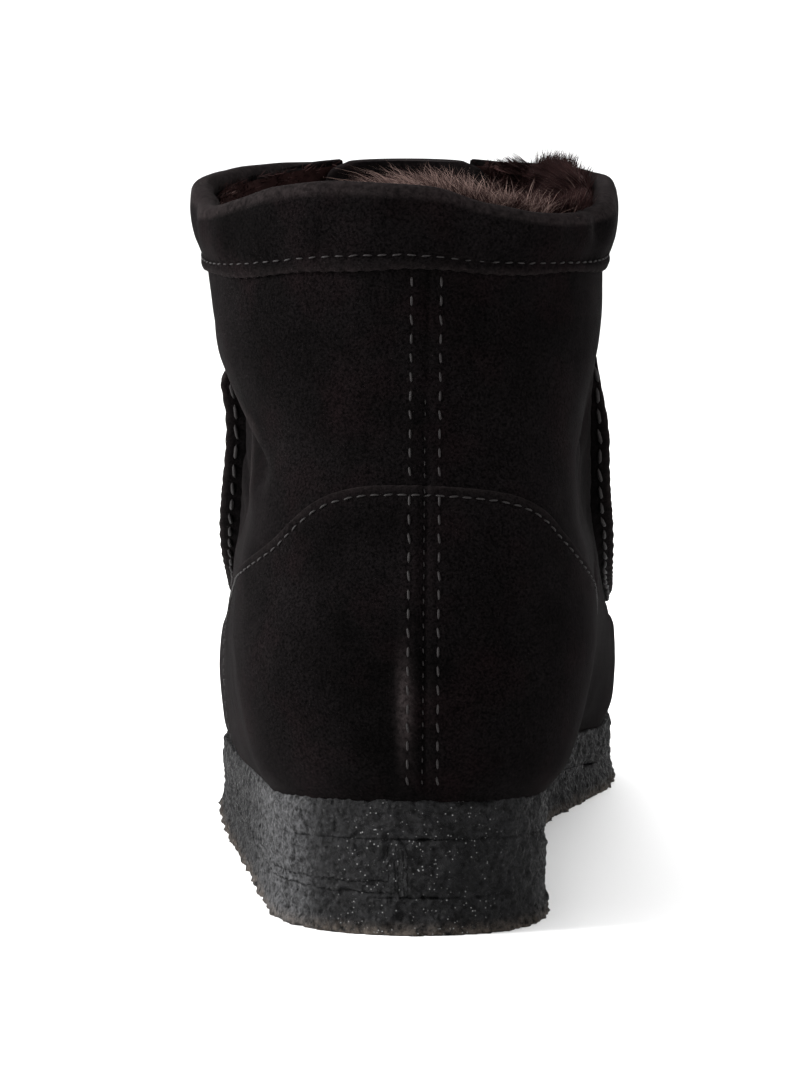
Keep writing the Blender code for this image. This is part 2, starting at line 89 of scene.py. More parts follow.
# Rings of the upper, from the feather line to above the collar, with the same columns as the solids' table
RING_COLUMNS = (
    "back", "front", "back_rise", "front_rise", "heel", "ball", "back_end", "front_end", "square",
    "arch", "waist", "dip", "lean", "throat",
)
RINGS = (
    (0.004, 0.989, 0.000, 0.000, 0.297, 0.487, 0.12, 0.25, 2.30, 1.0, 0.0, 0.000, 0.000, 15.0),
    (-0.011, 0.997, 0.053, 0.045, 0.340, 0.506, 0.13, 0.25, 2.30, 0.85, 0.0, 0.000, 0.000, 15.0),
    (-0.0185, 0.998, 0.155, 0.110, 0.372, 0.512, 0.14, 0.26, 2.30, 0.74, 0.0, 0.000, -0.004, 15.0),
    (-0.0175, 0.980, 0.240, 0.180, 0.384, 0.502, 0.15, 0.27, 2.30, 0.54, 0.0, 0.000, -0.008, 15.0),
    (-0.013, 0.952, 0.290, 0.208, 0.384, 0.486, 0.16, 0.30, 2.30, 0.40, 0.0, 0.000, -0.010, 15.0),
    (-0.008, 0.860, 0.345, 0.270, 0.380, 0.468, 0.18, 0.42, 2.15, 0.25, 0.1, 0.000, -0.014, 15.0),
    (0.000, 0.728, 0.400, 0.358, 0.370, 0.450, 0.20, 0.36, 2.20, 0.12, 0.3, 0.000, -0.018, 15.0),
    (0.007, 0.590, 0.455, 0.478, 0.354, 0.426, 0.24, 0.24, 2.50, 0.05, 0.9, 0.000, -0.020, 9.0),
    (0.022, 0.508, 0.575, 0.640, 0.352, 0.416, 0.28, 0.27, 2.40, 0.0, 1.0, 0.000, -0.016, 10.5),
    (0.0295, 0.460, 0.710, 0.800, 0.410, 0.446, 0.36, 0.34, 2.25, 0.0, 0.35, -0.010, -0.034, 13.0),
    (0.0315, 0.435, 0.868, 0.962, 0.450, 0.456, 0.46, 0.44, 2.15, 0.0, 0.0, -0.024, -0.043, 16.0),
    (0.037, 0.422, 0.980, 1.075, 0.466, 0.466, 0.50, 0.50, 2.15, 0.0, 0.0, -0.032, -0.045, 18.0),
    (0.039, 0.418, 1.050, 1.145, 0.468, 0.468, 0.50, 0.50, 2.15, 0.0, 0.0, -0.032, -0.045, 18.0),
)
THROAT_RING, CUFF_RING, COLLAR_RING, TOP_RING = 7, 10, 11, 12
THROAT_COLUMN = math.radians(15.0)

# How far the collar falls behind each side of the ankle, below the line of its ring
COLLAR_FALL = (
    # degrees from the front, + on the inner side, share of SHAFT_HEIGHT
    (-180.0, 0.000), (-160.0, 0.000), (-145.0, 0.014), (-128.0, 0.034), (-112.0, 0.038), (-95.0, 0.014),
    (-80.0, 0.000), (-60.0, 0.000), (60.0, 0.000), (80.0, 0.000), (98.0, 0.012), (115.0, 0.034),
    (130.0, 0.040), (145.0, 0.035), (158.0, 0.019), (170.0, 0.004), (180.0, 0.000),
)

# The sole's outline, as a ring of the same kind
SOLE_OUTLINE = dict(
    back=0.0, front=1.0, heel=0.305, ball=0.500, back_end=0.12, front_end=0.25, square=2.3,
    arch=1.0, waist=0.0,
)

# The raised seam's line, from the middle of the toe up the side of the instep: degrees from the front, ring
SEAM_LINE = (
    (0.0, 3.90), (18.0, 3.90), (34.0, 3.95), (48.0, 4.10), (57.0, 4.40), (62.5, 4.80), (64.5, 5.40),
    (64.0, 6.20), (62.5, 7.00), (61.0, 7.80), (60.0, 8.65),
)

# The tongue's half width in degrees, by ring
TONGUE_LINE = (
    (6.35, 17.0), (7.20, 19.0), (8.60, 22.0), (9.80, 25.0), (10.5, 25.0), (10.9, 22.0), (11.05, 15.0),
)
EYELET_RINGS = (7.45, 8.55, 9.60)
EYELET_COLUMN = THROAT_COLUMN + math.radians(7.5)
EYELETS = [(side * EYELET_COLUMN, ring) for ring in EYELET_RINGS for side in (-1, 1)]

# Creases of the upper: soft troughs along lines drawn on one side, as length from the sole's back and height
CREASES = (
    # side (+1 inner), depth, half width, line, all in millimetres
    (-1, 2.4, 3.6, ((78, 124), (62, 113), (47, 104), (32, 97), (20, 93))),
    (-1, 1.1, 4.0, ((96, 112), (84, 104), (72, 99), (60, 97))),
    (-1, 0.8, 3.0, ((112, 98), (104, 86), (96, 78), (86, 73))),
    (1, 1.4, 3.6, ((74, 108), (60, 101), (46, 97), (32, 95))),
    (1, 1.0, 3.2, ((98, 106), (86, 96), (74, 90), (62, 88))),
    (1, 1.0, 2.0, ((82, 72), (86, 60), (88, 46), (87, 36))),
    (1, 0.8, 1.7, ((90, 76), (94, 62), (96, 48), (95, 38))),
    (1, 0.6, 1.6, ((99, 74), (103, 60), (104, 48))),
    (-1, 0.5, 4.0, ((196, 60), (190, 52), (186, 44), (184, 36))),
    (1, 0.5, 4.0, ((196, 60), (192, 52), (188, 44), (186, 36))),
)

# Flex folds across the plug, each as length from the sole's back, depth, half width and bow towards the toe
PLUG_FOLDS = (
    # all in millimetres
    (150, 0.7, 4.5, 4), (163, 1.1, 4.0, 6), (178, 0.9, 4.5, 9), (192, 0.5, 5.0, 11),
)

# The counter's edge from the sole on the outer side, over the back, to the sole on the inner side
COUNTER_EDGE = (
    # degrees round from the back, + on the inner side, height in millimetres
    (-77.5, 23.0), (-76.5, 34.0), (-75.0, 45.0), (-72.5, 56.0), (-67.0, 65.0), (-58.0, 71.0), (-44.0, 76.5),
    (-34.0, 81.8), (-26.0, 87.6), (-19.0, 92.2), (-10.0, 94.8), (0.0, 95.2), (12.0, 94.3), (22.0, 92.4),
    (30.0, 88.8), (37.0, 83.2), (44.0, 77.0), (52.0, 71.0), (62.0, 65.0), (69.0, 56.0), (72.5, 45.0),
    (74.5, 34.0), (75.5, 23.0),
)
COUNTER_THICKNESS = 0.9 * MM
COUNTER_STITCHES_IN = 2.3 * MM

# The back seam's place across the boot, by height, and its two rows of stitches
BACK_SEAM = ((20, -0.2), (60, 0.0), (100, 0.3), (130, 0.6), (160, 0.9))
BACK_ROW_OUT = 3.1 * MM
CENTRE_STITCH_TOP = 8.6


def through(xs, ys, x):
    """Smooth curve through the points (xs, ys), read at x."""
    xs, ys, x = (np.asarray(values, float) for values in (xs, ys, x))
    slopes = np.gradient(ys, xs)
    i = np.clip(np.searchsorted(xs, x, side="right") - 1, 0, len(xs) - 2)
    span = xs[i + 1] - xs[i]
    t = (x - xs[i]) / span
    ends = (2 * t**3 - 3 * t**2 + 1) * ys[i] + (3 * t**2 - 2 * t**3) * ys[i + 1]
    return ends + ((t**3 - 2 * t**2 + t) * slopes[i] + (t**3 - t**2) * slopes[i + 1]) * span


def smooth_step(value, low, high):
    share = np.clip((np.asarray(value, float) - low) / (high - low), 0, 1)
    return share * share * (3 - 2 * share)


def bell(value, width=1.0):
    """1 at 0, falling smoothly on both sides over a width."""
    return np.exp(-((value / width) ** 2))


def station(share):
    """Y of a share of the sole's length from the heel."""
    return (np.asarray(share, float) - 0.5) * SOLE_LENGTH


def tread_height(y):
    """Height of the outsole's underside: flat to the ball, then the toe spring."""
    past = (y / SOLE_LENGTH + 0.5 - SPRING_START) / (1 - SPRING_START)
    return TOE_SPRING * np.clip(past, 0.0, None) ** 2


def wedge_thickness(y):
    return WEDGE_HEEL_THICKNESS * np.clip(1 - (y / SOLE_LENGTH + 0.5) / WEDGE_END, 0.0, None)


def outsole_top(y):
    return tread_height(y) + OUTSOLE_THICKNESS


def wedge_top(y):
    return outsole_top(y) + GAP + wedge_thickness(y)


def midsole_foot(y):
    """The midsole rests on the wedge, and past its end on the outsole."""
    on_wedge = np.minimum(wedge_thickness(y) / WEDGE_TIP_THICKNESS, 1.0) * GAP
    return outsole_top(y) + GAP + wedge_thickness(y) + on_wedge


def midsole_top(y):
    return midsole_foot(y) + MIDSOLE_THICKNESS


def round_end(share, length, power):
    """1 along the ring, falling to 0 at its end as a superellipse."""
    inside = np.clip(1 - share / length, 0.0, 1.0)
    return (1 - inside**power) ** (1 / power)


def half_width(share, inner, ring):
    """Half width at a share of the ring's length; inner is true on the inner side of the foot."""
    shares, outer_girth, sole_girth, ankle_girth = np.array(GIRTH).T
    outer_side = through(shares, outer_girth, share)
    outer_side = outer_side + (through(shares, ankle_girth, share) - outer_side) * ring["waist"]
    inner_side = outer_side + (through(shares, sole_girth, share) - outer_side) * ring["arch"]
    girth = np.where(inner, inner_side, outer_side)
    back_end = round_end(share, ring["back_end"], ring["square"])
    front_end = round_end(1 - share, ring["front_end"], ring["square"])
    return (ring["heel"] + (ring["ball"] - ring["heel"]) * girth) * back_end * front_end * BALL_WIDTH


def wrapped(column):
    """Turns outside one round brought back to it."""
    return (np.asarray(column, float) + math.pi) % (2 * math.pi) - math.pi


def ring_turn(column, throat):
    """A column's turn on its own ring, so that one column keeps to the throat's edge on every ring."""
    side = np.abs(column)
    beside = throat + (side - THROAT_COLUMN) * (math.pi - throat) / (math.pi - THROAT_COLUMN)
    return np.copysign(np.where(side < THROAT_COLUMN, side * throat / THROAT_COLUMN, beside), column)


def surface(column, ring):
    """Point of the upper's outer face. column turns from 0, front, to pi, back, + on the inner side."""
    column, ring = np.broadcast_arrays(wrapped(column), np.asarray(ring, float))
    values = (through(range(len(RINGS)), column_values, ring) for column_values in np.array(RINGS).T)
    row = dict(zip(RING_COLUMNS, values))
    turn = ring_turn(column, np.radians(row["throat"]))
    share = (1 + np.cos(turn)) / 2
    inner = turn > 0
    x = np.where(inner, 1, -1) * half_width(share, inner, row) + row["lean"] * BALL_WIDTH
    y = station(row["back"] + (row["front"] - row["back"]) * share)
    rise = row["back_rise"] + (row["front_rise"] - row["back_rise"]) * share
    rise = rise + row["dip"] * 4 * share * (1 - share)
    turns, falls = np.array(COLLAR_FALL).T
    rise = rise - through(turns, falls, np.degrees(column)) * np.clip(ring - CUFF_RING, 0, 1)
    return np.stack([x, y, midsole_top(y) + GAP + rise * SHAFT_HEIGHT], axis=-1)


def unit(vectors):
    return vectors / np.maximum(np.linalg.norm(vectors, axis=-1, keepdims=True), 1e-12)


def outward(column, ring):
    """Unit normal of the upper's outer face."""
    along = surface(column + STEP, ring) - surface(column - STEP, ring)
    ring = np.clip(ring, STEP, TOP_RING - STEP)
    up = surface(column, ring + STEP) - surface(column, ring - STEP)
    return unit(np.cross(up, along))


def off_surface(column, ring, out, rise=0.0):
    """Point at a distance outside the upper's outer face, or inside it where out is negative, then raised."""
    given = (np.asarray(values, float) for values in (column, ring, out, rise))
    column, ring, out, rise = np.broadcast_arrays(*given)
    point = surface(column, ring) + outward(column, ring) * out[..., None]
    point[..., 2] += rise
    return point


def line_distance(points, line):
    """Distance of points from a line of straight runs, and how far along it, 0 to 1, the nearest place is."""
    gaps, shares = [], []
    start, run = line[:-1][None], (line[1:] - line[:-1])[None]
    for part in np.array_split(points, max(len(points) * len(line) // 2_000_000, 1)):
        near = np.clip(((part[:, None] - start) * run).sum(-1) / (run * run).sum(-1), 0, 1)
        gap = np.linalg.norm(start + run * near[..., None] - part[:, None], axis=-1)
        best = gap.argmin(1)
        rows = np.arange(len(part))
        gaps.append(gap[rows, best])
        shares.append((best + near[rows, best]) / (len(line) - 1))
    return np.concatenate(gaps), np.concatenate(shares)


def smooth_line(points, count):
    """A line of count points through the given ones."""
    points = np.asarray(points, float)
    at = np.linspace(0, len(points) - 1, count)
    return np.stack([through(range(len(points)), values, at) for values in points.T], axis=-1)


def grain(points, size, octaves=2):
    """Smooth noise from about -1 to 1 with features of the given size."""
    flat = points.reshape(-1, 3) / size
    values = [noise.fractal(Vector(point), 1.0, 2.0, octaves) for point in flat]
    return np.array(values).reshape(points.shape[:-1])


def seam_path(count):
    """Column, ring and point along the raised seam, from its outer end round the toe to its inner end."""
    degrees, ring = smooth_line(SEAM_LINE, count // 2 + 1).T
    side = np.radians(degrees)
    columns = np.concatenate([-side[:0:-1], side])
    rings = np.concatenate([ring[:0:-1], ring])
    return columns, rings, surface(columns, rings)


# Pitch, length and radius of the stitches in each kind of row
BACK_STITCH = (4.0 * MM, 2.5 * MM, 0.26 * MM)
CENTRE_STITCH = (2.6 * MM, 1.1 * MM, 0.17 * MM)
COUNTER_STITCH = (2.9 * MM, 2.0 * MM, 0.22 * MM)
CUFF_PITCH, SEAM_PITCH = 3.1 * MM, 5.9 * MM
CUFF_STITCH = (CUFF_PITCH, 1.9 * MM, 0.20 * MM)
SEAM_STITCH = (SEAM_PITCH, 4.3 * MM, 0.50 * MM)

# How deep a row of stitches pulls the suede in, and how far to each side
DIMPLE, DIMPLE_WIDTH = 0.22 * MM, 0.7 * MM
PUCKER = 0.55 * MM


def run_length(path):
    return np.concatenate([[0.0], np.cumsum(np.linalg.norm(np.diff(path, axis=0), axis=1))])


def puckers(column, ring, points):
    """Gathers of the plug and the wall where the raised seam pulls them in at each stitch."""
    _, _, path = seam_path(300)
    length = run_length(path)[-1]
    near = (np.abs(column) < math.radians(80)) & (ring > 2.6) & (ring < 9.4)
    lift = np.zeros(column.shape)
    gap, along = line_distance(points[near], path)
    degrees, rings = np.array(SEAM_LINE).T
    side = np.degrees(np.abs(column[near]))
    beside_line = side < np.interp(ring[near], rings[4:], degrees[4:])
    inside = beside_line & (ring[near] > np.interp(side, degrees[:7], rings[:7]))
    wave = np.cos(2 * math.pi * along * length / SEAM_PITCH)
    depth = np.where(inside, PUCKER, 0.35 * PUCKER) * np.exp(-gap / (5.5 * MM))
    pulled = -0.7 * PUCKER * bell(gap, 3.0 * MM)
    lift[near] = depth * wave * smooth_step(gap, 0, 1.5 * MM) + pulled
    return lift


def seam_x(height):
    """Place of the back seam across the boot at a height."""
    heights, places = np.array(BACK_SEAM).T * MM
    return np.interp(height, heights, places)


def relief(column, ring):
    """How far the suede stands off the last's form: creases, soft waves, puckers and the back seam."""
    column, ring = np.broadcast_arrays(wrapped(column), np.asarray(ring, float))
    shape = column.shape
    column, ring = column.ravel(), ring.ravel()
    points = surface(column, ring)
    lift = 0.45 * MM * grain(points, 34 * MM) + 0.16 * MM * grain(points + 0.3, 11 * MM)
    flat = np.stack([points[:, 1] + SOLE_LENGTH / 2, points[:, 2]], axis=-1)
    for side, depth, width, places in CREASES:
        line = smooth_line(np.array(places) * MM, 24)
        on_side = (column * side > 0) & (np.abs(column) > math.radians(20))
        gap, along = line_distance(flat[on_side], line)
        fade = smooth_step(along, 0.0, 0.25) * (1 - smooth_step(along, 0.7, 1.0))
        across = gap / (width * MM)
        trough = 0.38 * bell(across - 1.9) - bell(across)
        lift[on_side] += depth * MM * trough * fade
    for length, depth, width, bow in PLUG_FOLDS:
        side = points[:, 0] / BALL_WIDTH
        line = (length + bow * (1 - 10 * side**2) + 2.5 * np.sin(9 * side + length)) * MM
        across = (flat[:, 0] - line) / (width * MM)
        trough = 0.55 * bell(across - 1.6) - bell(across) + 0.35 * bell(across + 1.7)
        fade = (1 - smooth_step(np.abs(side), 0.16, 0.34)) * smooth_step(ring, 3.9, 4.3)
        lift += depth * MM * trough * fade
    at_back = (points[:, 1] < station(0.2)) & (np.abs(column) > math.radians(120))
    aside = np.abs(points[:, 0] - seam_x(points[:, 2]))
    pad = 0.35 * MM * (1 - smooth_step(aside, 3.8 * MM, 5.2 * MM))
    groove = -1.05 * MM * bell(aside, 0.7 * MM)
    rows = -DIMPLE * bell(aside - BACK_ROW_OUT, DIMPLE_WIDTH)
    lift += np.where(at_back, pad + groove + rows, 0)
    lift += puckers(column, ring, points)
    return (lift * smooth_step(ring, 0.0, 0.8)).reshape(shape)


def dressed(column, ring, out=0.0):
    """Point of the suede's own face, with its creases, moved out by a distance."""
    return off_surface(column, ring, np.asarray(out) + relief(column, ring))


def placed(name, data, place=(0, 0, 0), target=None):
    """A new object in the scene, which looks at a target where one is given."""
    made = bpy.data.objects.new(name, data)
    bpy.context.scene.collection.objects.link(made)
    made.location = place
    if target:
        made.rotation_euler = (Vector(target) - Vector(place)).to_track_quat("-Z", "Y").to_euler()
    return made


def mesh_object(name, points, faces, material, merge=0.0, **attributes):
    """A smooth-shaded mesh piece. attributes are named values, one for each point."""
    mesh = bpy.data.meshes.new(name)
    mesh.from_pydata(np.asarray(points).reshape(-1, 3).tolist(), [], faces)
    for key, values in attributes.items():
        layer = mesh.attributes.new(key, "FLOAT", "POINT")
        layer.data.foreach_set("value", np.asarray(values, np.float32).ravel())
    work = bmesh.new()
    work.from_mesh(mesh)
    if merge:
        bmesh.ops.remove_doubles(work, verts=work.verts, dist=merge)
    bmesh.ops.delete(work, geom=[vert for vert in work.verts if not vert.link_faces], context="VERTS")
    work.to_mesh(mesh)
    work.free()
    mesh.shade_smooth()
    mesh.materials.append(material)
    return placed(name, mesh)


def turned_out(made):
    """Turns the faces of a closed piece outwards."""
    work = bmesh.new()
    work.from_mesh(made.data)
    bmesh.ops.recalc_face_normals(work, faces=work.faces)
    work.to_mesh(made.data)
    work.free()
    return made


def grid_faces(rows, columns, keep=None, wrap=False, flip=False):
    """Quads of a grid of points, facing so that up the rows and then along the columns turns outwards."""
    faces = []
    for row in range(rows - 1):
        for column in range(columns if wrap else columns - 1):
            if keep is None or keep(row, column):
                low, high, beside = row * columns, (row + 1) * columns, (column + 1) % columns
                face = (low + column, high + column, high + beside, low + beside)
                faces.append(face[::-1] if flip else face)
    return faces


def lofted(name, sections, material, **more):
    """Closed piece through sections with the same number of points."""
    count, size = sections.shape[:2]
    faces = grid_faces(count, size, wrap=True)
    faces += [tuple(range(size)), tuple((count - 1) * size + i for i in range(size))]
    return turned_out(mesh_object(name, sections, faces, material, **more))


def seated(piece, slot, *nodes):
    """The piece rides with the boot and stands for the nodes named, which are hidden. The slot is not used.
    """
    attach(piece, "root")
    if nodes:
        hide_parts(*nodes)


class Shader:
    """A material's nodes, made and joined by short calls."""

    def __init__(self, name):
        self.material = bpy.data.materials.new(name)
        self.material.use_nodes = True
        self.tree = self.material.node_tree
        self.surface = self.tree.nodes["Principled BSDF"]
        self.place = self.add("ShaderNodeTexCoord").outputs["Object"]

    def put(self, values, sockets):
        """Sets sockets to numbers and colours, or joins other nodes to them."""
        for key, value in values.items():
            if isinstance(value, (int, float)):
                sockets[key].default_value = value
            elif isinstance(value, tuple):
                sockets[key].default_value = (*value, 1.0)
            else:
                self.tree.links.new(value, sockets[key])

    def add(self, kind, inputs=None, **settings):
        node = self.tree.nodes.new(kind)
        for key, value in settings.items():
            setattr(node, key, value)
        self.put(inputs or {}, node.inputs)
        return node

    def noise(self, size, detail=3.0, roughness=0.55, stretch=(1, 1, 1)):
        """Noise with features of a size in metres."""
        mapping = self.add("ShaderNodeMapping", {"Vector": self.place})
        mapping.inputs["Scale"].default_value = stretch
        inputs = {"Scale": 1 / size, "Detail": detail, "Roughness": roughness}
        inputs["Vector"] = mapping.outputs["Vector"]
        return self.add("ShaderNodeTexNoise", inputs).outputs["Fac"]

    def cells(self, size):
        """Distance from the middles of cells of a size in metres."""
        return self.add("ShaderNodeTexVoronoi", {"Vector": self.place, "Scale": 1 / size}).outputs["Distance"]

    def attribute(self, name):
        return self.add("ShaderNodeAttribute", attribute_name=name).outputs["Fac"]

    def ramp(self, source, *stops):
        """Colours or greys by place, each stop a place and a colour."""
        node = self.add("ShaderNodeValToRGB", {"Fac": source})
        steps = node.color_ramp.elements
        while len(steps) < len(stops):
            steps.new(0.5)
        for step, (place, colour) in zip(steps, stops):
            step.position = place
            step.color = (*colour, 1.0) if isinstance(colour, tuple) else (colour, colour, colour, 1.0)
        return node.outputs["Color"]

    def mix(self, share, first, second, blend="MIX"):
        """Two colours mixed, or blended in another way."""
        inputs = {0: share, 6: first, 7: second}
        return self.add("ShaderNodeMix", inputs, data_type="RGBA", blend_type=blend).outputs[2]

    def times(self, first, second):
        return self.add("ShaderNodeMath", {0: first, 1: second}, operation="MULTIPLY").outputs[0]

    def bump(self, height, distance, strength=1.0, **below):
        """A normal bent by heights, from another one where Normal is given."""
        inputs = {"Height": height, "Distance": distance, "Strength": strength, **below}
        return self.add("ShaderNodeBump", inputs).outputs["Normal"]

    def finish(self, **values):
        """Values of the surface, each named as its socket with _ for a space."""
        self.put({key.replace("_", " "): value for key, value in values.items()}, self.surface.inputs)
        return self.material


# Colours of the materials, in linear light
SUEDE_DARK, SUEDE_PALE = (0.0007, 0.0006, 0.0006), (0.0023, 0.0019, 0.0020)
SUEDE_CAST, SUEDE_WORN_AND_HIGHLIT = (0.0034, 0.0018, 0.0020), (0.026, 0.021, 0.021)
CREPE_DARK, CREPE_PALE = (0.0019, 0.0019, 0.0021), (0.0052, 0.0051, 0.0054)
# The first crepe colour here is painted light, for the outer side of the heel made paler where the key lamp
# falls; CREPE_GLINT is the colour of painted glints.
CREPE_PAINTED_LIT_SIDE, CREPE_GLINT = (0.025, 0.025, 0.026), (0.26, 0.26, 0.26)
DUST = (0.10, 0.080, 0.064)
FUR_ROOT, FUR_BROWN = (0.0024, 0.0014, 0.0014), (0.020, 0.0090, 0.0086)
FUR_PALE, STRAND_PALE = (0.110, 0.074, 0.066), (0.230, 0.160, 0.140)
THREAD_GREY, CORD_BLACK = (0.0095, 0.0082, 0.0082), (0.0055, 0.0055, 0.0055)


def suede_finish():
    """Black suede: a napped face with brushed patches, a brown cast in places, paler worn edges, and crease
    crests made paler by wear and a painted highlight.
    """
    shader = Shader("suede")
    patches = shader.ramp(shader.noise(26 * MM, 4.0, 0.6), (0.30, SUEDE_DARK), (0.72, SUEDE_PALE))
    brown = shader.ramp(shader.noise(15 * MM), (0.50, 0.0), (0.78, 0.5))
    cast = shader.mix(brown, patches, SUEDE_CAST)
    nap = shader.noise(0.55 * MM, 3.0, 0.7)
    napped = shader.mix(1.0, cast, shader.ramp(nap, (0.36, 0.30), (0.66, 2.2)), "MULTIPLY")
    patchy = shader.ramp(shader.noise(1.2 * MM, 3.0, 0.65), (0.36, 0.25), (0.66, 1.0))
    # Wear and painted highlight: the suede is painted paler where the mask is high, on worn edges and on
    # crease crests that catch the light.
    worn_and_highlit = shader.mix(shader.times(shader.attribute("wear"), patchy), napped, SUEDE_WORN_AND_HIGHLIT)
    brushed = shader.bump(shader.noise(5.5 * MM, 4.0, 0.6), 0.5 * MM, 0.35)
    return shader.finish(
        Base_Color=worn_and_highlit, Normal=shader.bump(nap, 0.22 * MM, 0.8, Normal=brushed), Roughness=0.95,
        Sheen_Weight=0.014, Sheen_Roughness=0.35, Sheen_Tint=(0.60, 0.52, 0.52), Specular_IOR_Level=0.01,
    )


def crepe_finish():
    """Black crepe rubber: a crumbly skin with pits, painted shade in its hollows and painted light on its
    crests, tiny painted glints, and painted light on the outer heel's side.
    """
    shader = Shader("crepe")
    crumple = shader.noise(1.5 * MM, 6.0, 0.8)
    shade = shader.ramp(shader.noise(5 * MM, 4.0, 0.7), (0.32, CREPE_DARK), (0.70, CREPE_PALE))
    # Painted light: the outer side of the heel, where the key lamp falls, is painted paler.
    rubbed = shader.mix(shader.attribute("rubbed"), shade, CREPE_PAINTED_LIT_SIDE)
    # Painted shade and light: the colour is darkened in the hollows of the crumple, the same noise that bumps
    # the surface, and lightened on its crests.
    colour = shader.mix(1.0, rubbed, shader.ramp(crumple, (0.40, 0.08), (0.60, 2.8)), "MULTIPLY")
    dusty = shader.times(shader.attribute("dust"), shader.ramp(crumple, (0.40, 0.0), (0.62, 0.8)))
    # Painted glints: tiny bright specks in the base colour stand in for highlights, mostly at the back end of
    # the heel.
    spots = shader.ramp(shader.cells(0.9 * MM), (0.10, 1.0), (0.20, 0.0))
    chosen = shader.ramp(shader.noise(1.9 * MM, 2.0), (0.49, 0.0), (0.53, 1.0))
    glints = shader.times(shader.times(spots, chosen), shader.attribute("shine"))
    pits = shader.ramp(shader.cells(1.6 * MM), (0.05, 0.0), (0.50, 1.0))
    return shader.finish(
        Base_Color=shader.mix(glints, shader.mix(dusty, colour, DUST), CREPE_GLINT),
        Normal=shader.bump(pits, 0.6 * MM, 0.9, Normal=shader.bump(crumple, 1.5 * MM)),
        Roughness=shader.ramp(shader.noise(0.8 * MM, 3.0, 0.7), (0.35, 0.38), (0.65, 0.80)),
        Specular_IOR_Level=0.10,
    )


def fur_finish(name, light):
    """Fur: dark at the root, with paler brown hairs among the dark ones."""
    shader = Shader(name)
    return shader.finish(
        Base_Color=shader.ramp(shader.attribute("tint"), (0.0, FUR_ROOT), (0.45, FUR_BROWN), (1.0, light)),
        Normal=shader.bump(shader.noise(0.8 * MM, 4.0, 0.7), 0.5 * MM, 0.6), Roughness=0.75,
        Sheen_Weight=0.02, Sheen_Tint=(0.90, 0.50, 0.46),
        Specular_IOR_Level=0.04, Specular_Tint=(1.0, 0.60, 0.55),
    )


def thread_finish(name, colour, gloss):
    shader = Shader(name)
    twist = shader.noise(0.35 * MM, 2.0, 0.5, (1, 1, 2.5))
    return shader.finish(
        Base_Color=shader.mix(1.0, colour, shader.ramp(twist, (0.3, 0.5), (0.7, 1.5)), "MULTIPLY"),
        Normal=shader.bump(twist, 0.1 * MM, 0.8), Roughness=0.65, Specular_IOR_Level=gloss,
    )


def fine_columns(plug, side):
    front = np.linspace(0, THROAT_COLUMN, plug + 1)
    half = np.concatenate([front, np.linspace(THROAT_COLUMN, math.pi, side + 1)[1:]])
    return np.concatenate([-half[:0:-1], half])


# The suede's open holes, whose edges lie under the turned edges of the eyelets
PUNCHED_RADIUS = 2.15 * MM

# Paleness of the suede at its most: wear and a painted highlight on the ridges of the creases, wear along the
# counter's edge
RIDGE_WEAR_AND_HIGHLIGHT, EDGE_WEAR = 0.28, 0.30


# Wear and painted highlight: the suede is painted paler on the crests of its creases, where light catches
# them.
def ridge_wear(lift):
    return RIDGE_WEAR_AND_HIGHLIGHT * smooth_step(lift, 0.25 * MM, 1.1 * MM)


def rubbed_spot(points, x, z, wide, high):
    """Wear round one place of the heel, given in millimetres."""
    return bell(points[..., 0] - x * MM, wide * MM) * bell(points[..., 2] - z * MM, high * MM)


def make_upper(suede):
    """The suede skin with its wall: plug, wall, quarters and shaft, open at throat, collar and foot."""
    columns = fine_columns(11, 158)
    rings = np.concatenate([np.linspace(0, 4.6, 42), np.linspace(4.6, COLLAR_RING, 94)[1:]])
    column, ring = np.meshgrid(columns, rings)
    lift = relief(column, ring)
    points = off_surface(column, ring, lift)
    middles = (columns[1:] + columns[:-1]) / 2
    spot = rubbed_spot(points, -3.5, 52, 1.6, 12) * (np.abs(column) > 2)
    # Wear and painted highlight on the crease crests, with a scuff at the back.
    wear = np.clip(ridge_wear(lift) + spot, 0, 1)
    centres = (points[1:, 1:] + points[:-1, :-1]) / 2
    from_eyelets = [np.linalg.norm(centres - dressed(*eyelet), axis=-1) for eyelet in EYELETS]
    punched = np.min(from_eyelets, axis=0) < PUNCHED_RADIUS

    def is_skin(row, column):
        past_throat = (rings[row] + rings[row + 1]) / 2 > THROAT_RING
        return not (punched[row, column] or past_throat and abs(middles[column]) < THROAT_COLUMN)

    faces = grid_faces(len(rings), len(columns), keep=is_skin)
    made = mesh_object("upper_suede", points, faces, suede, merge=WELD, wear=wear)
    wall = made.modifiers.new("wall", "SOLIDIFY")
    wall.thickness = UPPER_WALL
    wall.offset = -1.0
    seated(made, "suede", "upper")


def ring_at(columns, heights):
    """Ring at which each column reaches a height."""
    rings = np.linspace(0, 9, 240)
    levels = surface(columns[:, None], rings)[..., 2]
    return np.array([np.interp(height, row, rings) for height, row in zip(heights, levels)])


def counter_grid(count=440):
    """Columns and rings of the counter from the sole to its edge, and its points' distances from the edge."""
    turns, heights = smooth_line(COUNTER_EDGE, 1500).T
    columns = math.pi - np.radians(turns)
    edge = ring_at(columns, heights * MM)
    length = run_length(surface(columns, edge))
    even = np.linspace(0, length[-1], count)
    columns, edge = np.interp(even, length, columns), np.interp(even, length, edge)
    rows = np.concatenate([np.linspace(0, 0.93, 60), np.linspace(0.94, 1.0, 14)])
    ring = edge * rows[:, None]
    column = np.broadcast_to(columns, ring.shape)
    gap, _ = line_distance(surface(column, ring).reshape(-1, 3), surface(columns, edge))
    return column, ring, gap.reshape(ring.shape)


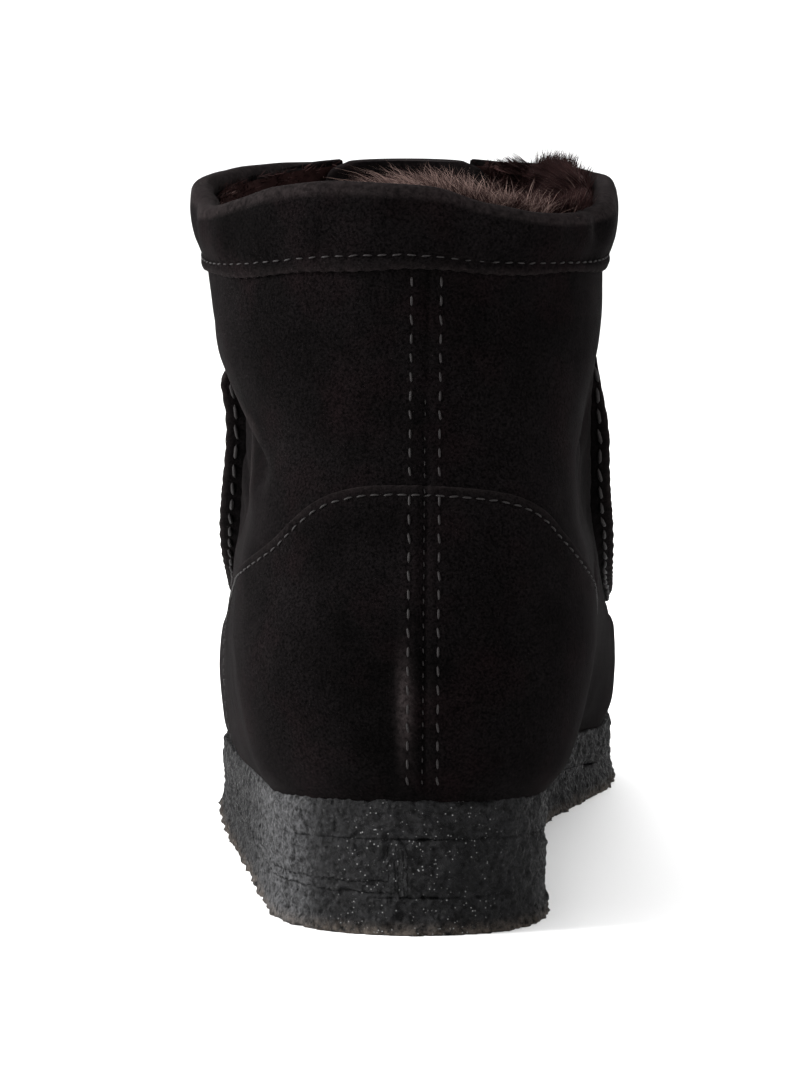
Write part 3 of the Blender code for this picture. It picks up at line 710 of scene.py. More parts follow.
def make_counter(suede, column, ring, gap):
    """The counter: a patch of suede laid over the heel, with a rounded edge."""
    near = np.clip(gap / COUNTER_THICKNESS, 0, 1)
    thick = COUNTER_THICKNESS * (1.15 * np.sqrt(1 - (1 - near) ** 2) - 0.15)
    dimple = -DIMPLE * bell(gap - COUNTER_STITCHES_IN, DIMPLE_WIDTH)
    points = dressed(column, ring, thick + dimple)
    # Wear of the counter's edge, with wear and a painted highlight on its crease crests.
    wear = EDGE_WEAR * np.exp(-gap / (0.9 * MM)) + ridge_wear(relief(column, ring))
    wear = np.clip(wear + rubbed_spot(points, -3.9, 50, 1.3, 9), 0, 1)
    faces = grid_faces(*ring.shape, flip=True)
    seated(mesh_object("counter_patch", points, faces, suede, merge=FINE_WELD, wear=wear), "suede")


def along_path(path, along, at):
    """Points of a path at distances along it."""
    return np.stack([np.interp(at, along, values) for values in path.T], axis=-1)


def stitch_meshes(path, normals, pitch, length, radius, rise=0.0, bow=0.18):
    """Points and faces of a row of stitches along a path: short threads whose ends go into the leather."""
    along = run_length(path)
    centres = np.arange(0.5 * pitch, along[-1] - length / 2, pitch)
    rings, sides = 6, 6
    points, faces = [], []
    at = np.linspace(-1, 1, rings)
    for number, centre in enumerate(centres):
        spots = centre + at * length / 2
        middle = along_path(path, along, spots)
        normal = unit(along_path(normals, along, spots))
        tangent = unit(np.gradient(middle, axis=0))
        across = unit(np.cross(normal, tangent))
        round_off = np.sqrt(np.clip(1 - 0.93 * at**4, 0, 1)) * radius
        middle = middle + normal * (rise + bow * length * (0.55 - at**2) * 0.5)[:, None]
        lean = 0.10 * math.sin(2.4 * number + 1.0) + 0.06
        middle = middle + across * (lean * at * length / 2)[:, None]
        for turn in np.linspace(0, 2 * math.pi, sides, endpoint=False):
            points.append(middle + (across * math.cos(turn) + normal * math.sin(turn)) * round_off[:, None])
        base = number * rings * sides
        for side in range(sides):
            beside = (side + 1) % sides
            for ring in range(rings - 1):
                a, b = base + side * rings + ring, base + beside * rings + ring
                faces.append((a, b, b + 1, a + 1))
        faces.append(tuple(base + side * rings for side in reversed(range(sides))))
        faces.append(tuple(base + side * rings + rings - 1 for side in range(sides)))
    return np.concatenate(points), faces


def stitched(columns, rings, out, *sizes):
    """A row of stitches on the suede."""
    return stitch_meshes(dressed(columns, rings, out), outward(columns, rings), *sizes)


def joined_stitches(name, rows, thread):
    """One piece from several rows of stitches."""
    points, faces, count = [], [], 0
    for row_points, row_faces in rows:
        points.append(row_points)
        faces += [tuple(corner + count for corner in face) for face in row_faces]
        count += len(row_points)
    seated(mesh_object(name, np.concatenate(points), faces, thread), "suede")


def back_column(rings, offset):
    """Column near the back at which each ring has the back seam's place plus an offset."""
    turns = np.linspace(math.pi - 0.9, math.pi + 0.9, 181)
    points = surface(turns, rings[:, None])
    target = seam_x(points[:, 90, 2]) + offset
    return np.array([np.interp(-x, -row[:, 0], turns) for x, row in zip(target, points)])


def heel_stitches(thread, column, ring, gap):
    """Stitches of the back seam and of the counter, whose grid is given."""
    rows = []
    top = ring[-1, ring.shape[1] // 2]
    for low, high in ((0.5, top), (top, 10.15)):
        over = COUNTER_THICKNESS if high == top else 0.0
        rings = np.linspace(low + 0.05, high - 0.03, 160)
        for offset in (-BACK_ROW_OUT, BACK_ROW_OUT):
            rows.append(stitched(back_column(rings, offset), rings, over, *BACK_STITCH))
        rings = rings[rings < CENTRE_STITCH_TOP]
        rows.append(stitched(back_column(rings, 0.0), rings, over + 0.25 * MM, *CENTRE_STITCH))
    wide = gap.max(axis=0) > COUNTER_STITCHES_IN + 0.2 * MM
    pairs = zip(gap.T[wide], ring.T[wide])
    rings = np.array([np.interp(COUNTER_STITCHES_IN, gaps[::-1], levels[::-1]) for gaps, levels in pairs])
    rows.append(stitched(column[0, wide], rings, COUNTER_THICKNESS - 0.1 * MM, *COUNTER_STITCH))
    joined_stitches("stitches_heel", rows, thread)


CUFF_HEIGHT = 16 * MM
CUFF_STITCH_UP = 2.4 * MM / CUFF_HEIGHT

# How the folded band sags round the ankle
CUFF_SAG = (
    # degrees from the front, + on the inner side, rise of the rim, fall of the lower edge, in millimetres
    (-180, 0.3, 0.5), (-158, 1.2, 1.2), (-139, 2.3, 2.2), (-114, 1.5, 2.1), (-92, 1.0, 1.6), (-60, 0.2, 1.2),
    (-34, -1.4, 1.0), (-18, -2.8, 1.0), (18, -2.8, 1.0), (34, -1.4, 1.0), (60, 0.2, 1.2), (92, 1.0, 1.4),
    (118, 0.4, 1.5), (135, 0.0, 1.4), (150, -0.6, 1.6), (163, -1.0, 1.5), (174, 0.1, 0.8), (180, 0.3, 0.5),
)

# The band's section, from its lower edge up over the roll to its turned-in edge inside the boot
CUFF_FOOT = (
    # distance out, share of the band's height, rise, share of the waves; lengths in millimetres
    (0.15, 0.0, 0.10, 0.0), (0.35, 0.0, -0.25, 0.0), (0.75, 0.0, -0.20, 0.0),
)
CUFF_BAND = (
    # share of the band's height, distance out in millimetres
    (0.00, 0.90), (0.06, 1.25), (0.14, 1.25), (0.20, 1.25), (0.40, 2.10), (0.70, 2.70), (0.90, 2.60),
    (1.00, 2.30),
)
ROLL_OUT, ROLL_RADIUS = -0.2, 2.5
CUFF_INSIDE = (
    (-2.50, 1.0, -1.50, 0.3), (-2.10, 1.0, -1.60, 0.0), (-1.90, 1.0, 0.60, 0.0), (0.10, 1.0, 0.70, 0.0),
    (0.10, 0.5, 0.00, 0.0),
)


def cuff_sag(columns, up):
    """Rise of the band's points for how it sags, and for its rounded ends at the throat, in metres."""
    turns, rims, falls = np.array(CUFF_SAG).T
    degrees = np.degrees(wrapped(columns))
    at_end = 1 - smooth_step(np.abs(degrees), 14.5, 24.0)
    rim, fall = through(turns, rims, degrees), through(turns, falls, degrees)
    return (rim * up - fall * (1 - up) - 1.8 * at_end * up) * MM


def cuff_waves(columns, up):
    """Soft dents and waves of the folded band, by column and share of its height."""
    wave = 0.40 * np.sin(5 * columns + 0.7) * np.sin(1.5 + 2.2 * up)
    wave = wave + 0.28 * np.sin(11 * columns - 2.0 * up + 1.1)
    wave = wave + 0.16 * np.sin(23 * columns + 3.0 * up)
    notch = -1.5 * bell(np.degrees(columns) - 118, 4.5) * smooth_step(up, 0.35, 0.9)
    pinch = -0.9 * bell(np.degrees(columns) + 100, 6.0) * smooth_step(up, 0.2, 0.7)
    return (wave + notch + pinch) * MM


def make_cuff(suede, thread):
    """Suede band folded over the rim, pulled in at its stitched lower edge."""
    columns = fine_columns(4, 300)
    columns = columns[np.abs(columns) > THROAT_COLUMN - 1e-6]
    columns = np.concatenate([columns[columns > 0], columns[columns < 0][1:] + 2 * math.pi])
    ups = np.concatenate([np.linspace(0, 0.12, 5), np.linspace(0.16, 1.0, 16)])
    outs = through(*np.array(CUFF_BAND).T, ups)
    section = list(CUFF_FOOT) + [(out, up, 0.0, 1.0) for out, up in zip(outs, ups)]
    for turn in np.linspace(0, math.pi, 12)[1:]:
        rise = 0.9 * ROLL_RADIUS * math.sin(turn)
        section.append((ROLL_OUT + ROLL_RADIUS * math.cos(turn), 1.0, rise, 1.0))
    section += CUFF_INSIDE
    out, up, rise, soft = np.array(section).T * [[MM], [1], [MM], [1]]
    turn = wrapped(columns)[:, None]
    waves = cuff_waves(turn, up) * soft * smooth_step(up, 0.0, 0.3)
    girth = run_length(surface(columns, np.full(len(columns), CUFF_RING + 0.2)))
    pulled = bell(up - CUFF_STITCH_UP, 0.045) * soft
    scallop = np.cos(2 * math.pi * girth / CUFF_PITCH)[:, None]
    waves = waves - pulled * (0.45 + 0.15 * scallop) * MM
    edge = bell(up, 0.08) * (0.25 * MM * np.sin(9 * turn) + 0.12 * MM * scallop)
    ring = CUFF_RING + up * (COLLAR_RING - CUFF_RING) + 0 * turn
    rise = rise + edge + cuff_sag(turn, up)
    sections = off_surface(columns[:, None] + 0 * ring, ring, out + waves, rise)
    wear = np.broadcast_to(0.35 * smooth_step(up, 0.9, 1.0) + 0.2 * np.exp(-up / 0.05), ring.shape)
    seated(lofted("cuff_band", sections, suede, wear=wear), "suede", "collar_cuff")
    rings = np.full(len(columns), CUFF_RING + CUFF_STITCH_UP * (COLLAR_RING - CUFF_RING))
    path = off_surface(columns, rings, 0.95 * MM, cuff_sag(columns, CUFF_STITCH_UP))
    row = stitch_meshes(path, outward(columns, rings), *CUFF_STITCH, bow=0.12)
    joined_stitches("stitches_cuff", [row], thread)


def make_seam(suede, thread):
    """Raised seam of wall and plug sewn edge to edge, with thick running stitches along both faces."""
    columns, rings, path = seam_path(620)
    length = run_length(path)
    normals = outward(columns, rings)
    across = unit(np.cross(normals, np.gradient(path, axis=0)))
    pulled = np.cos(2 * math.pi * length / SEAM_PITCH)
    wobble = 0.22 * MM * np.sin(length / (21 * MM)) + 0.15 * MM * np.sin(length / (7.3 * MM) + 1)
    ends = smooth_step(length, -2 * MM, 8 * MM) * smooth_step(length[-1] - length, -8 * MM, 26 * MM)
    height = (SEAM_HEIGHT + 0.12 * MM * pulled + wobble) * ends
    outline = (
        # share of the width, share of the height
        (-0.62, -0.45), (-0.50, 0.15), (-0.44, 0.42), (-0.50, 0.70), (-0.47, 0.90), (-0.32, 1.00),
        (-0.14, 0.98), (-0.02, 0.86), (0.02, 0.86), (0.14, 0.98), (0.32, 1.00), (0.47, 0.90), (0.50, 0.70),
        (0.44, 0.42), (0.50, 0.15), (0.62, -0.45),
    )
    wide, high = np.array(outline).T
    spread = SEAM_WIDTH * (1.0 + 0.10 * pulled[:, None] * bell(high - 0.5, 0.3))
    sections = path[:, None] + across[:, None] * (wide * spread)[..., None]
    sections = sections + normals[:, None] * (high * height[:, None])[..., None]
    wear = np.broadcast_to(np.clip(high - 0.55, 0, 1) * 0.7, sections.shape[:2])
    seated(lofted("moccasin_seam", sections, suede, wear=wear), "suede", "apron_seam")
    rows = []
    for side in (-1, 1):
        face = path + across * side * 0.46 * SEAM_WIDTH + normals * (0.45 * height)[:, None]
        rows.append(stitch_meshes(face, across * side, *SEAM_STITCH, rise=0.15 * MM, bow=0.16))
    joined_stitches("stitches_seam", rows, thread)


# How deep the tongue lies under the wall's inner face: deepest where the lace has to pass over it
TONGUE_DEPTH = (
    # ring, depth in millimetres
    (6.35, 2.2), (6.80, 2.6), (7.30, 4.0), (9.90, 4.0), (10.60, 2.9), (11.05, 2.9),
)


def tongue_depth(ring):
    rings, depths = np.array(TONGUE_DEPTH).T
    return -UPPER_WALL - np.interp(ring, rings, depths) * MM


def make_tongue(suede):
    ring, degrees = smooth_line(TONGUE_LINE, 90).T
    across = np.sin(np.linspace(-math.pi / 2, math.pi / 2, 40))
    columns = np.radians(degrees)[:, None] * across
    ring = np.broadcast_to(ring[:, None], columns.shape)
    thick = TONGUE_THICKNESS * np.sqrt(np.clip(1 - 0.92 * across**8, 0, 1))
    middle = tongue_depth(ring) - TONGUE_THICKNESS / 2
    puff = 0.35 * MM * np.cos(across * math.pi / 2) * np.sin(ring * 9)
    face = off_surface(columns, ring, middle + thick / 2 + puff)
    lining = off_surface(columns, ring, middle - thick / 2)
    sections = np.concatenate([face, lining[:, ::-1]], axis=1)
    wear = np.full(sections.shape[:2], 0.15)
    seated(lofted("tongue_suede", sections, suede, wear=wear), "suede", "tongue")


def lace_path():
    """Centre line of the lace: a bar at the lowest pair, through the next from below, into the top pair."""
    radius = LACE_DIAMETER / 2
    over, under = radius + 0.2 * MM, -UPPER_WALL - radius - 0.2 * MM
    low, middle, top = EYELET_RINGS
    half = [
        # column share of the eyelet's, ring, distance out
        (0.0, low, over + 0.3 * MM),
        (0.45, low, over + 0.2 * MM),
        (0.85, low, over),
        (1.0, low, 0.0),
        (0.92, low + 0.10, under),
    ]
    rows = []
    for side, lift in ((1, 0.0), (-1, 1.0)):
        cross = [
            (0.45, low + 0.37, under + 0.2 * MM),
            (0.0, low + 0.55, under + 0.4 * MM - lift * 0.6 * MM + (1 - lift) * 2.5 * MM),
            (-0.45, low + 0.74, under + 0.2 * MM),
            (-0.92, middle - 0.10, under),
            (-1.0, middle, 0.0),
            (-0.88, middle + 0.10, over),
            (-0.40, middle + 0.40, over + 0.3 * MM),
            (0.0, middle + 0.53, over + lift * LACE_DIAMETER),
            (0.40, top - 0.38, over + 0.3 * MM),
            (0.88, top - 0.10, over),
            (1.0, top, 0.0),
            (1.05, top + 0.06, under - 0.5 * MM),
        ]
        rows.append([(side * share, ring, out) for share, ring, out in half + cross])
    whole = rows[1][:0:-1] + rows[0]
    share, ring, out = np.array(whole).T
    places = off_surface(share * EYELET_COLUMN, ring, out)
    return smooth_line(places, 900)


def make_lace(cord):
    """Round braided lace, its two ends held inside the top eyelets."""
    path = lace_path()
    length = run_length(path)
    tangent = unit(np.gradient(path, axis=0))
    side = unit(np.cross(tangent, np.array([0.0, 0.35, 1.0])))
    up = np.cross(side, tangent)
    turns = np.linspace(0, 2 * math.pi, 14, endpoint=False)
    phase = length[:, None] / (1.35 * MM)
    braid = np.sin(phase + 3 * turns) * np.sin(phase - 3 * turns)
    radius = LACE_DIAMETER / 2 * 0.94 + 0.10 * MM * braid
    circle = side[:, None] * np.cos(turns)[:, None] + up[:, None] * np.sin(turns)[:, None]
    sections = path[:, None] + circle * radius[..., None]
    seated(lofted("lace_cord", sections, cord), "lace", "lace")


def make_eyelets(suede):
    """Plain punched holes: a dark turned edge round each."""
    points, faces = [], []
    turns = np.linspace(0, 2 * math.pi, 28, endpoint=False)
    tube = np.linspace(0, 2 * math.pi, 10, endpoint=False)
    for eyelet in EYELETS:
        middle, normal = dressed(*eyelet, 0.12 * MM), outward(*np.array(eyelet))
        right = unit(np.cross(normal, [0, 0, 1.0]))
        up = np.cross(normal, right)
        around = right * np.cos(turns)[:, None] + up * np.sin(turns)[:, None]
        base = len(points) * len(turns)
        for turn in tube:
            rim = EYELET_DIAMETER / 2 + 0.50 * MM * math.cos(turn)
            points.append(middle + around * rim + normal * 0.40 * MM * math.sin(turn))
        for i in range(len(tube)):
            for j in range(len(turns)):
                a, b = base + i * len(turns), base + (i + 1) % len(tube) * len(turns)
                k = (j + 1) % len(turns)
                faces.append((a + j, a + k, b + k, b + j))
    wear = np.full(len(points) * len(turns), 0.6)
    seated(turned_out(mesh_object("eyelet_edges", points, faces, suede, wear=wear)), "suede")


def sole_edge(count, last_share):
    """Even X and Y round the sole, cut straight at a share of its length, and their outward directions."""
    turns = np.linspace(-math.pi, math.pi, 8001)
    share = (1 + np.cos(turns)) / 2
    inner = turns > 0
    x = np.where(inner, 1, -1) * half_width(share, inner, SOLE_OUTLINE)
    edge = np.stack([x, station(share)], axis=-1)[share <= last_share]
    length = run_length(edge)
    even = np.linspace(0, length[-1], count, endpoint=False)
    edge = along_path(edge, length, even)
    along = np.roll(edge, -3, axis=0) - np.roll(edge, 3, axis=0)
    return edge, unit(np.stack([-along[:, 1], along[:, 0]], axis=-1))


def crepe_layer(crepe, name, node, foot, top, bulge, last_share):
    """A crepe layer with crumbly sides between two heights given as functions of Y."""
    tread = node == "outsole"
    edge, out = sole_edge(1320, last_share)
    low, high = foot(edge[:, 1]) - 0.5 * GAP, top(edge[:, 1]) + 0.5 * GAP
    thickness = high - low
    thin = np.clip(thickness / (3 * MM), 0.15, 1.0)
    rows = []
    for up in np.linspace(0, 1, 23 if node == "heel_wedge" else 18):
        place = np.stack([edge[:, 0], edge[:, 1], low + thickness * up], axis=-1)
        crumbs = 0.55 * grain(place, 2.0 * MM, 3) + 0.50 * grain(place + 0.7, 6 * MM, 2)
        crumbs *= 1 + 0.7 * math.exp(-up / 0.2) * tread
        corner = 0.18 * (1 - np.sqrt(np.clip(1 - (2 * up - 1) ** 14, 0, 1)))
        push = (bulge(up) + crumbs - corner) * thin * MM
        drop = 1.1 * MM * np.clip(grain(place + 0.4, 3.2 * MM, 2), -0.4, 1) * (1 - up) ** 3
        crest = 0.6 * MM * grain(place + 0.9, 2.8 * MM, 2) * up**4
        drop = drop * tread + crest * (node == "midsole")
        moved = place + np.stack([out[:, 0] * push, out[:, 1] * push, drop], axis=-1)
        moved[:, 2] = np.maximum(moved[:, 2], 0)
        rows.append(moved)

    def cap(row, height):
        """Rows from an edge in to the middle line."""
        made = []
        for share in (0.985, 0.95, 0.85, 0.7, 0.5, 0.25, 0.0) if tread else (0.95, 0.0):
            ring = row * [share, 1, 1]
            ring[:, 2] = height(ring[:, 1])
            if tread:
                ring[:, 2] += 0.5 * MM * np.clip(grain(ring, 4 * MM, 2) + 0.2, 0, None)
            made.append(ring)
        return np.array(made)

    grid = np.concatenate([cap(rows[0], foot)[::-1], rows, cap(rows[-1], top)])
    dust = smooth_step(-grid[..., 2], -3.5 * MM, 0.5 * MM)
    # Painted glints: where the painted highlight specks show, mostly at the back end of the heel.
    shine = 0.12 + 0.88 * smooth_step(-(grid[..., 1] - station(0)), -7 * MM, -1 * MM)
    # Painted light: mask of the outer heel's side, lit by the key lamp, which the crepe paints paler.
    rubbed = smooth_step(-grid[..., 0], 20 * MM, 29 * MM) * smooth_step(-grid[..., 1], 30 * MM, 135 * MM)
    faces = grid_faces(len(grid), len(edge), wrap=True)
    made = mesh_object(name, grid, faces, crepe, merge=WELD, dust=dust, shine=shine, rubbed=rubbed)
    seated(turned_out(made), "crepe", node)


def make_sole(crepe):
    """Three crepe layers pressed together, with crumbly edges that bulge a little at the floor."""
    wedge_tip = WEDGE_END * (1 - WEDGE_TIP_THICKNESS / WEDGE_HEEL_THICKNESS)
    layers = (
        # piece, node, heights of its foot and top by Y, bulge of its side, share of the length where it ends
        ("crepe_outsole", "outsole", tread_height, outsole_top, lambda up: 0.9 * bell(up, 0.45) - 0.1, 1.0),
        (
            "crepe_wedge", "heel_wedge", lambda y: outsole_top(y) + GAP, wedge_top,
            lambda up: 0.2 * math.sin(math.pi * up) - 0.1, wedge_tip,
        ),
        (
            "crepe_midsole", "midsole", midsole_foot, midsole_top,
            lambda up: 0.25 * math.sin(math.pi * up) - 0.05, 1.0,
        ),
    )
    for layer in layers:
        crepe_layer(crepe, *layer)


# How far the fur stands above the rim round the ankle
FUR_RISE = (
    # degrees from the front, + on the inner side, length of the hairs in millimetres, share of pale hairs
    (-180, 3.2, 0.25), (-150, 2.6, 0.15), (-120, 2.4, 0.25), (-90, 1.6, 0.12), (-45, 1.0, 0.05),
    (-21, 0.6, 0.05), (-20, 0.0, 0.0), (20, 0.0, 0.0), (21, 2.0, 0.0), (32, 4.6, 0.02), (50, 7.6, 0.02),
    (75, 8.6, 0.03), (105, 8.4, 0.05), (130, 7.4, 0.12), (150, 6.0, 0.40), (165, 5.0, 0.45), (180, 3.2, 0.25),
)


# Where the insole starts and ends, as shares of the length, and how far the fleece stands off the wall
INSOLE_START, INSOLE_END = 0.012, 0.978
FLEECE_DEPTH, FLEECE_LUMPS = 1.6 * MM, 0.9 * MM
RIM_HAIRS, STRANDS, SHAFT_HAIRS, INSOLE_HAIRS = 36000, 11000, 12500, 9500


def insole_edge(share, inner, clear):
    """Half width and Y of the insole at a share of its length, a distance clear of the wall."""
    wide = half_width(share, inner, dict(zip(RING_COLUMNS, RINGS[0]))) - UPPER_WALL - clear
    return np.maximum(wide, 0), station(INSOLE_START + (INSOLE_END - INSOLE_START) * share)


def make_linings(pile):
    """Fleece inside the upper, which follows its creases, and on the insole, under the loose hairs."""
    columns = fine_columns(3, 80)
    rings = np.linspace(0.05, COLLAR_RING, 90)
    column, ring = np.meshgrid(columns, rings)
    base = off_surface(column, ring, -(UPPER_WALL + 0.4 * MM))
    lump = grain(base, 3.2 * MM, 2)
    sunk = np.minimum(relief(column, ring), 0)
    deep = UPPER_WALL + FLEECE_DEPTH + FLEECE_LUMPS * lump
    face = off_surface(column, ring, sunk - deep, -0.6 * MM)
    degrees, rises, _ = np.array(FUR_RISE).T
    crest = np.clip(0.62 * np.interp(np.degrees(columns), degrees, rises) - 1.2, 0, None) * MM
    turns = np.linspace(0, math.pi, 9)[1:, None]
    deep = deep[-1] - sunk[-1] + np.minimum(0.9 * crest, 1.7 * MM) * (1 - np.cos(turns))
    tuft = off_surface(columns, COLLAR_RING, -deep, crest * np.sin(turns) - 0.6 * MM)
    face = np.concatenate([face, tuft])
    lump = np.concatenate([lump, np.repeat(lump[-1:], len(tuft), axis=0)])
    rings = np.concatenate([rings, np.full(len(tuft), COLLAR_RING)])
    middles = (columns[1:] + columns[:-1]) / 2

    def is_lining(row, column):
        return rings[row] < TONGUE_LINE[0][0] or abs(middles[column]) > THROAT_COLUMN * 1.15

    faces = grid_faces(len(rings), len(columns), keep=is_lining, flip=True)
    made = mesh_object("fur_backing", face, faces, pile, merge=FINE_WELD, tint=0.22 + 0.2 * lump)
    seated(made, "fur", "fleece_lining")
    shares = (1 - np.cos(np.linspace(0, math.pi, 110))) / 2
    across = np.linspace(-1, 1, 34)
    wide, y = insole_edge(shares[:, None], across > 0, 0.8 * MM)
    x = across * wide
    y = np.broadcast_to(y, x.shape)
    pile_top = midsole_top(y) + GAP + INSOLE_THICKNESS * (1 - 0.35 * across**6)
    top = np.stack([x, y, pile_top], axis=-1)
    top[..., 2] += 0.5 * MM * grain(top, 3 * MM, 2)
    low = np.stack([x, y, midsole_top(y) + 0.5 * GAP], axis=-1)
    sections = np.concatenate([top, low[:, ::-1]], axis=1)
    tint = np.full(sections.shape[:2], 0.3)
    seated(lofted("insole_fleece", sections, pile, merge=WELD, tint=tint), "fur", "insole")


def hair_piece(name, roots, directions, lengths, widths, bends, tints, material, chance):
    """Tapered hairs, each a curved ribbon of three spans."""
    count = len(roots)
    directions = unit(directions)
    side = unit(np.cross(directions, unit(chance.normal(size=(count, 3)))))
    rows = []
    for share, taper in ((0.0, 1.0), (0.35, 0.85), (0.7, 0.5)):
        centre = roots + directions * (lengths * share)[:, None] + bends * (lengths * share**2)[:, None]
        half = side * (widths * taper / 2)[:, None]
        rows += [centre - half, centre + half]
    rows.append(roots + directions * lengths[:, None] + bends * lengths[:, None])
    points = np.stack(rows, axis=1)
    start = np.arange(count)[:, None] * 7
    quads = np.concatenate([start + [0, 1, 3, 2], start + [2, 3, 5, 4]]).tolist()
    tips = (start + [4, 5, 6]).tolist()
    shade = tints[:, None] * [0.35, 0.35, 0.75, 0.75, 1.0, 1.0, 1.0]
    seated(mesh_object(name, points, quads + tips, material, tint=shade), "fur")


def rim_fur(fur):
    """Hairs of the lining that rise past the rim, longer on the inner side of the ankle."""
    chance = np.random.default_rng(11)
    count = RIM_HAIRS
    degrees, rises, pales = np.array(FUR_RISE).T
    crowd = np.interp(np.linspace(-180, 180, 721), degrees, rises) ** 1.7
    columns = np.interp(chance.random(count), np.cumsum(crowd) / crowd.sum(), np.linspace(-180, 180, 721))
    rise, pale = np.interp(columns, degrees, rises), np.interp(columns, degrees, pales)
    columns = np.radians(columns)
    rings = chance.uniform(10.0, COLLAR_RING, count)
    roots = off_surface(columns, rings, -(UPPER_WALL + chance.uniform(0.6, 3.4, count) * MM))
    clump = grain(roots, 3.0 * MM, 1)
    normal = outward(columns, rings)
    lean = np.stack([grain(roots + 0.2, 6 * MM, 1), grain(roots + 0.5, 6 * MM, 1), 0 * clump], axis=-1)
    lean = unit(lean + 1e-6)
    directions = -0.40 * normal + np.array([0, 0, 0.95]) + 0.45 * lean + 0.20 * chance.normal(size=(count, 3))
    lengths = np.clip(rise + 1.2 * clump + chance.uniform(-1.6, 0.4, count), 1.2, None) * MM
    bends = 0.35 * lean - 0.20 * normal
    shades = chance.normal(0.75, 0.15, count), chance.normal(0.2, 0.12, count)
    tints = np.clip(np.where(chance.random(count) < pale, *shades), 0, 1)
    widths = chance.uniform(0.14, 0.30, count) * MM
    hair_piece("fur_rim", roots, directions, lengths, widths, bends, tints, fur, chance)


def back_strands(fur):
    """Longer, paler strands that fan up and to the outer side over the rim, behind the inner ankle."""
    chance = np.random.default_rng(23)
    count = STRANDS
    columns = np.radians(np.clip(chance.normal(159, 11, count), 136, 184))
    rings = chance.uniform(10.4, COLLAR_RING, count)
    deep = chance.uniform(0.3, 9.0, count) * MM
    roots = off_surface(columns, rings, -UPPER_WALL - deep)
    clump = grain(roots, 3.5 * MM, 1)
    sweep = np.interp(np.degrees(columns), (125, 150, 175), (0.10, -0.35, -0.65))
    sweep = sweep + 0.3 * chance.normal(size=count)
    forward = chance.uniform(-0.05, 0.45, count)
    directions = np.stack([sweep + 0.3 * clump, forward, np.full(count, 0.85)], axis=-1)
    lengths = (chance.uniform(6.5, 14.0, count) + 2.5 * clump) * MM
    bends = np.stack([0.5 * sweep, 0 * sweep, -0.30 + 0 * sweep], axis=-1)
    tints = np.clip(chance.normal(0.66, 0.24, count), 0.1, 1)
    widths = chance.uniform(0.09, 0.17, count) * MM
    hair_piece("fur_strands", roots, directions, lengths, widths, bends, tints, fur, chance)


def short_fur(name, roots, upright, spread, lengths, tints, widths, fur, chance):
    """Short hairs that lean every way from upright, their lengths and widths drawn between two values."""
    count = len(roots)
    directions = upright + spread * chance.normal(size=(count, 3))
    lengths = chance.uniform(*lengths, count) * MM
    tints = np.clip(chance.normal(*tints, count), 0, 1)
    widths = chance.uniform(*widths, count) * MM
    bends = 0.4 * unit(chance.normal(size=(count, 3)))
    hair_piece(name, roots, directions, lengths, widths, bends, tints, fur, chance)


def inner_fur(fur):
    """Short fur down the inside of the shaft, on the tongue's lining and over the insole."""
    chance = np.random.default_rng(5)
    columns = chance.uniform(-math.pi, math.pi, SHAFT_HAIRS)
    rings = chance.uniform(5.0, COLLAR_RING, SHAFT_HAIRS)
    on_tongue = (np.abs(columns) < THROAT_COLUMN * 1.2) & (rings > THROAT_RING - 0.2)
    on_wall = np.minimum(relief(columns, rings), 0) - UPPER_WALL - 1.2 * MM
    depth = np.where(on_tongue, tongue_depth(rings) - TONGUE_THICKNESS, on_wall)
    keep = ~(on_tongue & (rings > 10.8))
    columns, rings = columns[keep], rings[keep]
    roots = off_surface(columns, rings, depth[keep])
    upright = -0.8 * outward(columns, rings) + np.array([0, 0, 0.35])
    short_fur("fur_shaft", roots, upright, 0.35, (2.0, 4.6), (0.28, 0.16), (0.14, 0.26), fur, chance)
    share = chance.uniform(0.02, 0.98, INSOLE_HAIRS)
    side = chance.uniform(-1, 1, INSOLE_HAIRS)
    wide, y = insole_edge(share, side > 0, 1.2 * MM)
    roots = np.stack([side * wide, y, midsole_top(y) + GAP + 0.85 * INSOLE_THICKNESS], axis=-1)
    upright = np.array([0, 0.15, 0.8])
    short_fur("fur_insole", roots, upright, 0.4, (1.6, 3.6), (0.30, 0.15), (0.16, 0.30), fur, chance)


# The camera stands behind the boot, a little above the collar, and looks slightly down at it
CAMERA_PLACE = (0.0039, -1.1357, 0.1885)
CAMERA_TARGET = (-0.0060, 0.0000, 0.0715)
CAMERA_LENS = 162.0

LIGHTS = (
    # name, place, target, side of the square lamp, power
    ("key", (-2.2, -0.35, 0.9), (0, 0, 0.08), 1.1, 190),
    ("fill", (1.6, -1.2, 0.9), (0, 0, 0.08), 1.4, 24),
    ("top", (0.0, 0.5, 2.2), (0, 0, 0.1), 1.6, 40),
)


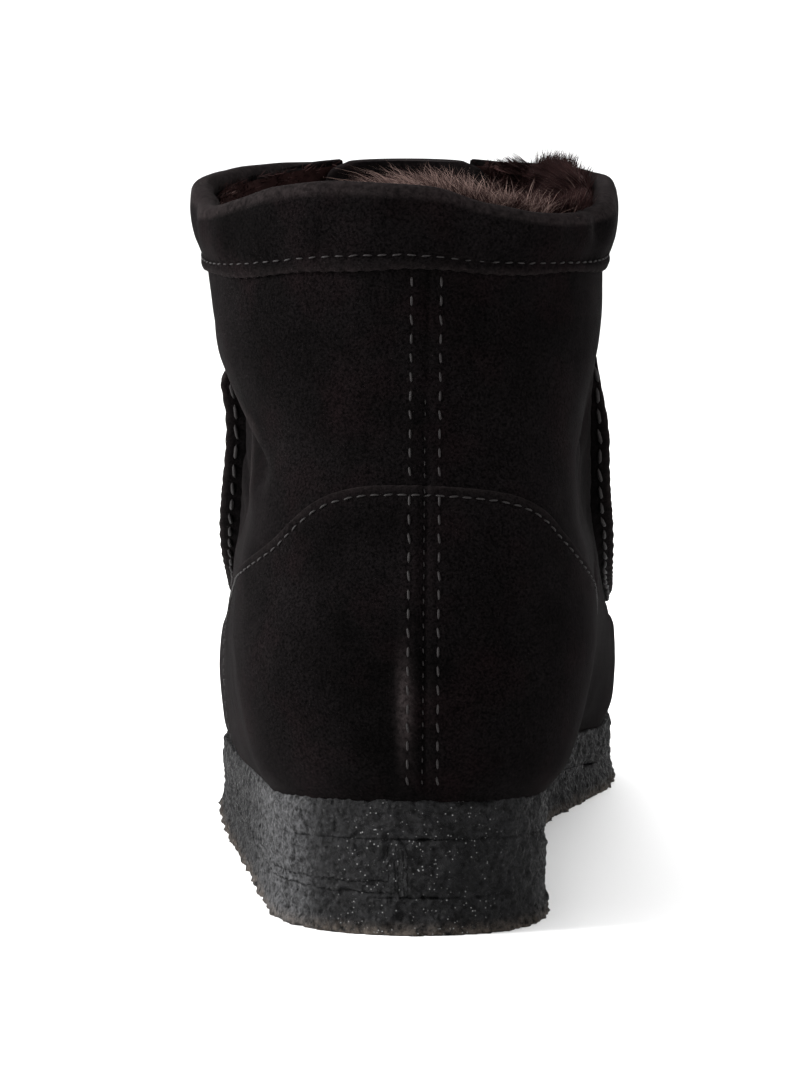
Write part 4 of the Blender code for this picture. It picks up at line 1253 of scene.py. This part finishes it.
def make_camera():
    camera = bpy.data.cameras.new("camera")
    camera.sensor_fit = "AUTO"
    camera.sensor_width = 36.0
    camera.lens = CAMERA_LENS
    camera.clip_start, camera.clip_end = 0.05, 20.0
    bpy.context.scene.camera = placed("camera", camera, CAMERA_PLACE, CAMERA_TARGET)


def make_light(name, place, target, size, power):
    lamp = bpy.data.lights.new(name, "AREA")
    lamp.shape = "SQUARE"
    lamp.size = size
    lamp.energy = power
    placed(name, lamp, place, target)


def make_stage():
    """A pale floor that sweeps up into a backdrop, and soft studio light."""
    across = np.linspace(-4, 4, 3)
    turn = np.linspace(0, math.pi / 2, 16)
    back, radius = 2.2, 1.2
    profile = [(-4.0, 0.0), (back, 0.0)]
    profile += [(back + radius * math.sin(t), radius * (1 - math.cos(t))) for t in turn[1:]]
    profile += [(back + radius, 4.0)]
    points = [[(x, y, z) for x in across] for y, z in profile]
    shader = Shader("floor_paper")
    paper = shader.ramp(shader.noise(0.25, 2.0), (0.3, 0.86), (0.7, 0.88))
    fine = shader.bump(shader.noise(0.02, 2.0), 0.0001, 0.1)
    material = shader.finish(Base_Color=paper, Normal=fine, Roughness=0.7, Specular_IOR_Level=0.2)
    faces = grid_faces(len(profile), len(across), flip=True)
    mesh_object("floor", np.array(points), faces, material)
    world = bpy.data.worlds.new("studio")
    world.use_nodes = True
    light = world.node_tree.nodes["Background"].inputs
    light["Color"].default_value = (1, 1, 1, 1)
    light["Strength"].default_value = 0.75
    bpy.context.scene.world = world
    for lamp in LIGHTS:
        make_light(*lamp)
    bpy.context.scene.view_settings.view_transform = "Standard"


def main():
    make_camera()
    make_stage()
    suede = suede_finish()
    thread = thread_finish("grey_thread", THREAD_GREY, 0.14)
    fur = fur_finish("fur", FUR_PALE)
    make_sole(crepe_finish())
    make_upper(suede)
    counter = counter_grid()
    make_counter(suede, *counter)
    heel_stitches(thread, *counter)
    make_cuff(suede, thread)
    make_seam(suede, thread)
    make_tongue(suede)
    make_eyelets(suede)
    make_lace(thread_finish("black_cord", CORD_BLACK, 0.12))
    make_linings(fur)
    rim_fur(fur)
    back_strands(fur_finish("pale_fur", STRAND_PALE))
    inner_fur(fur)


main()
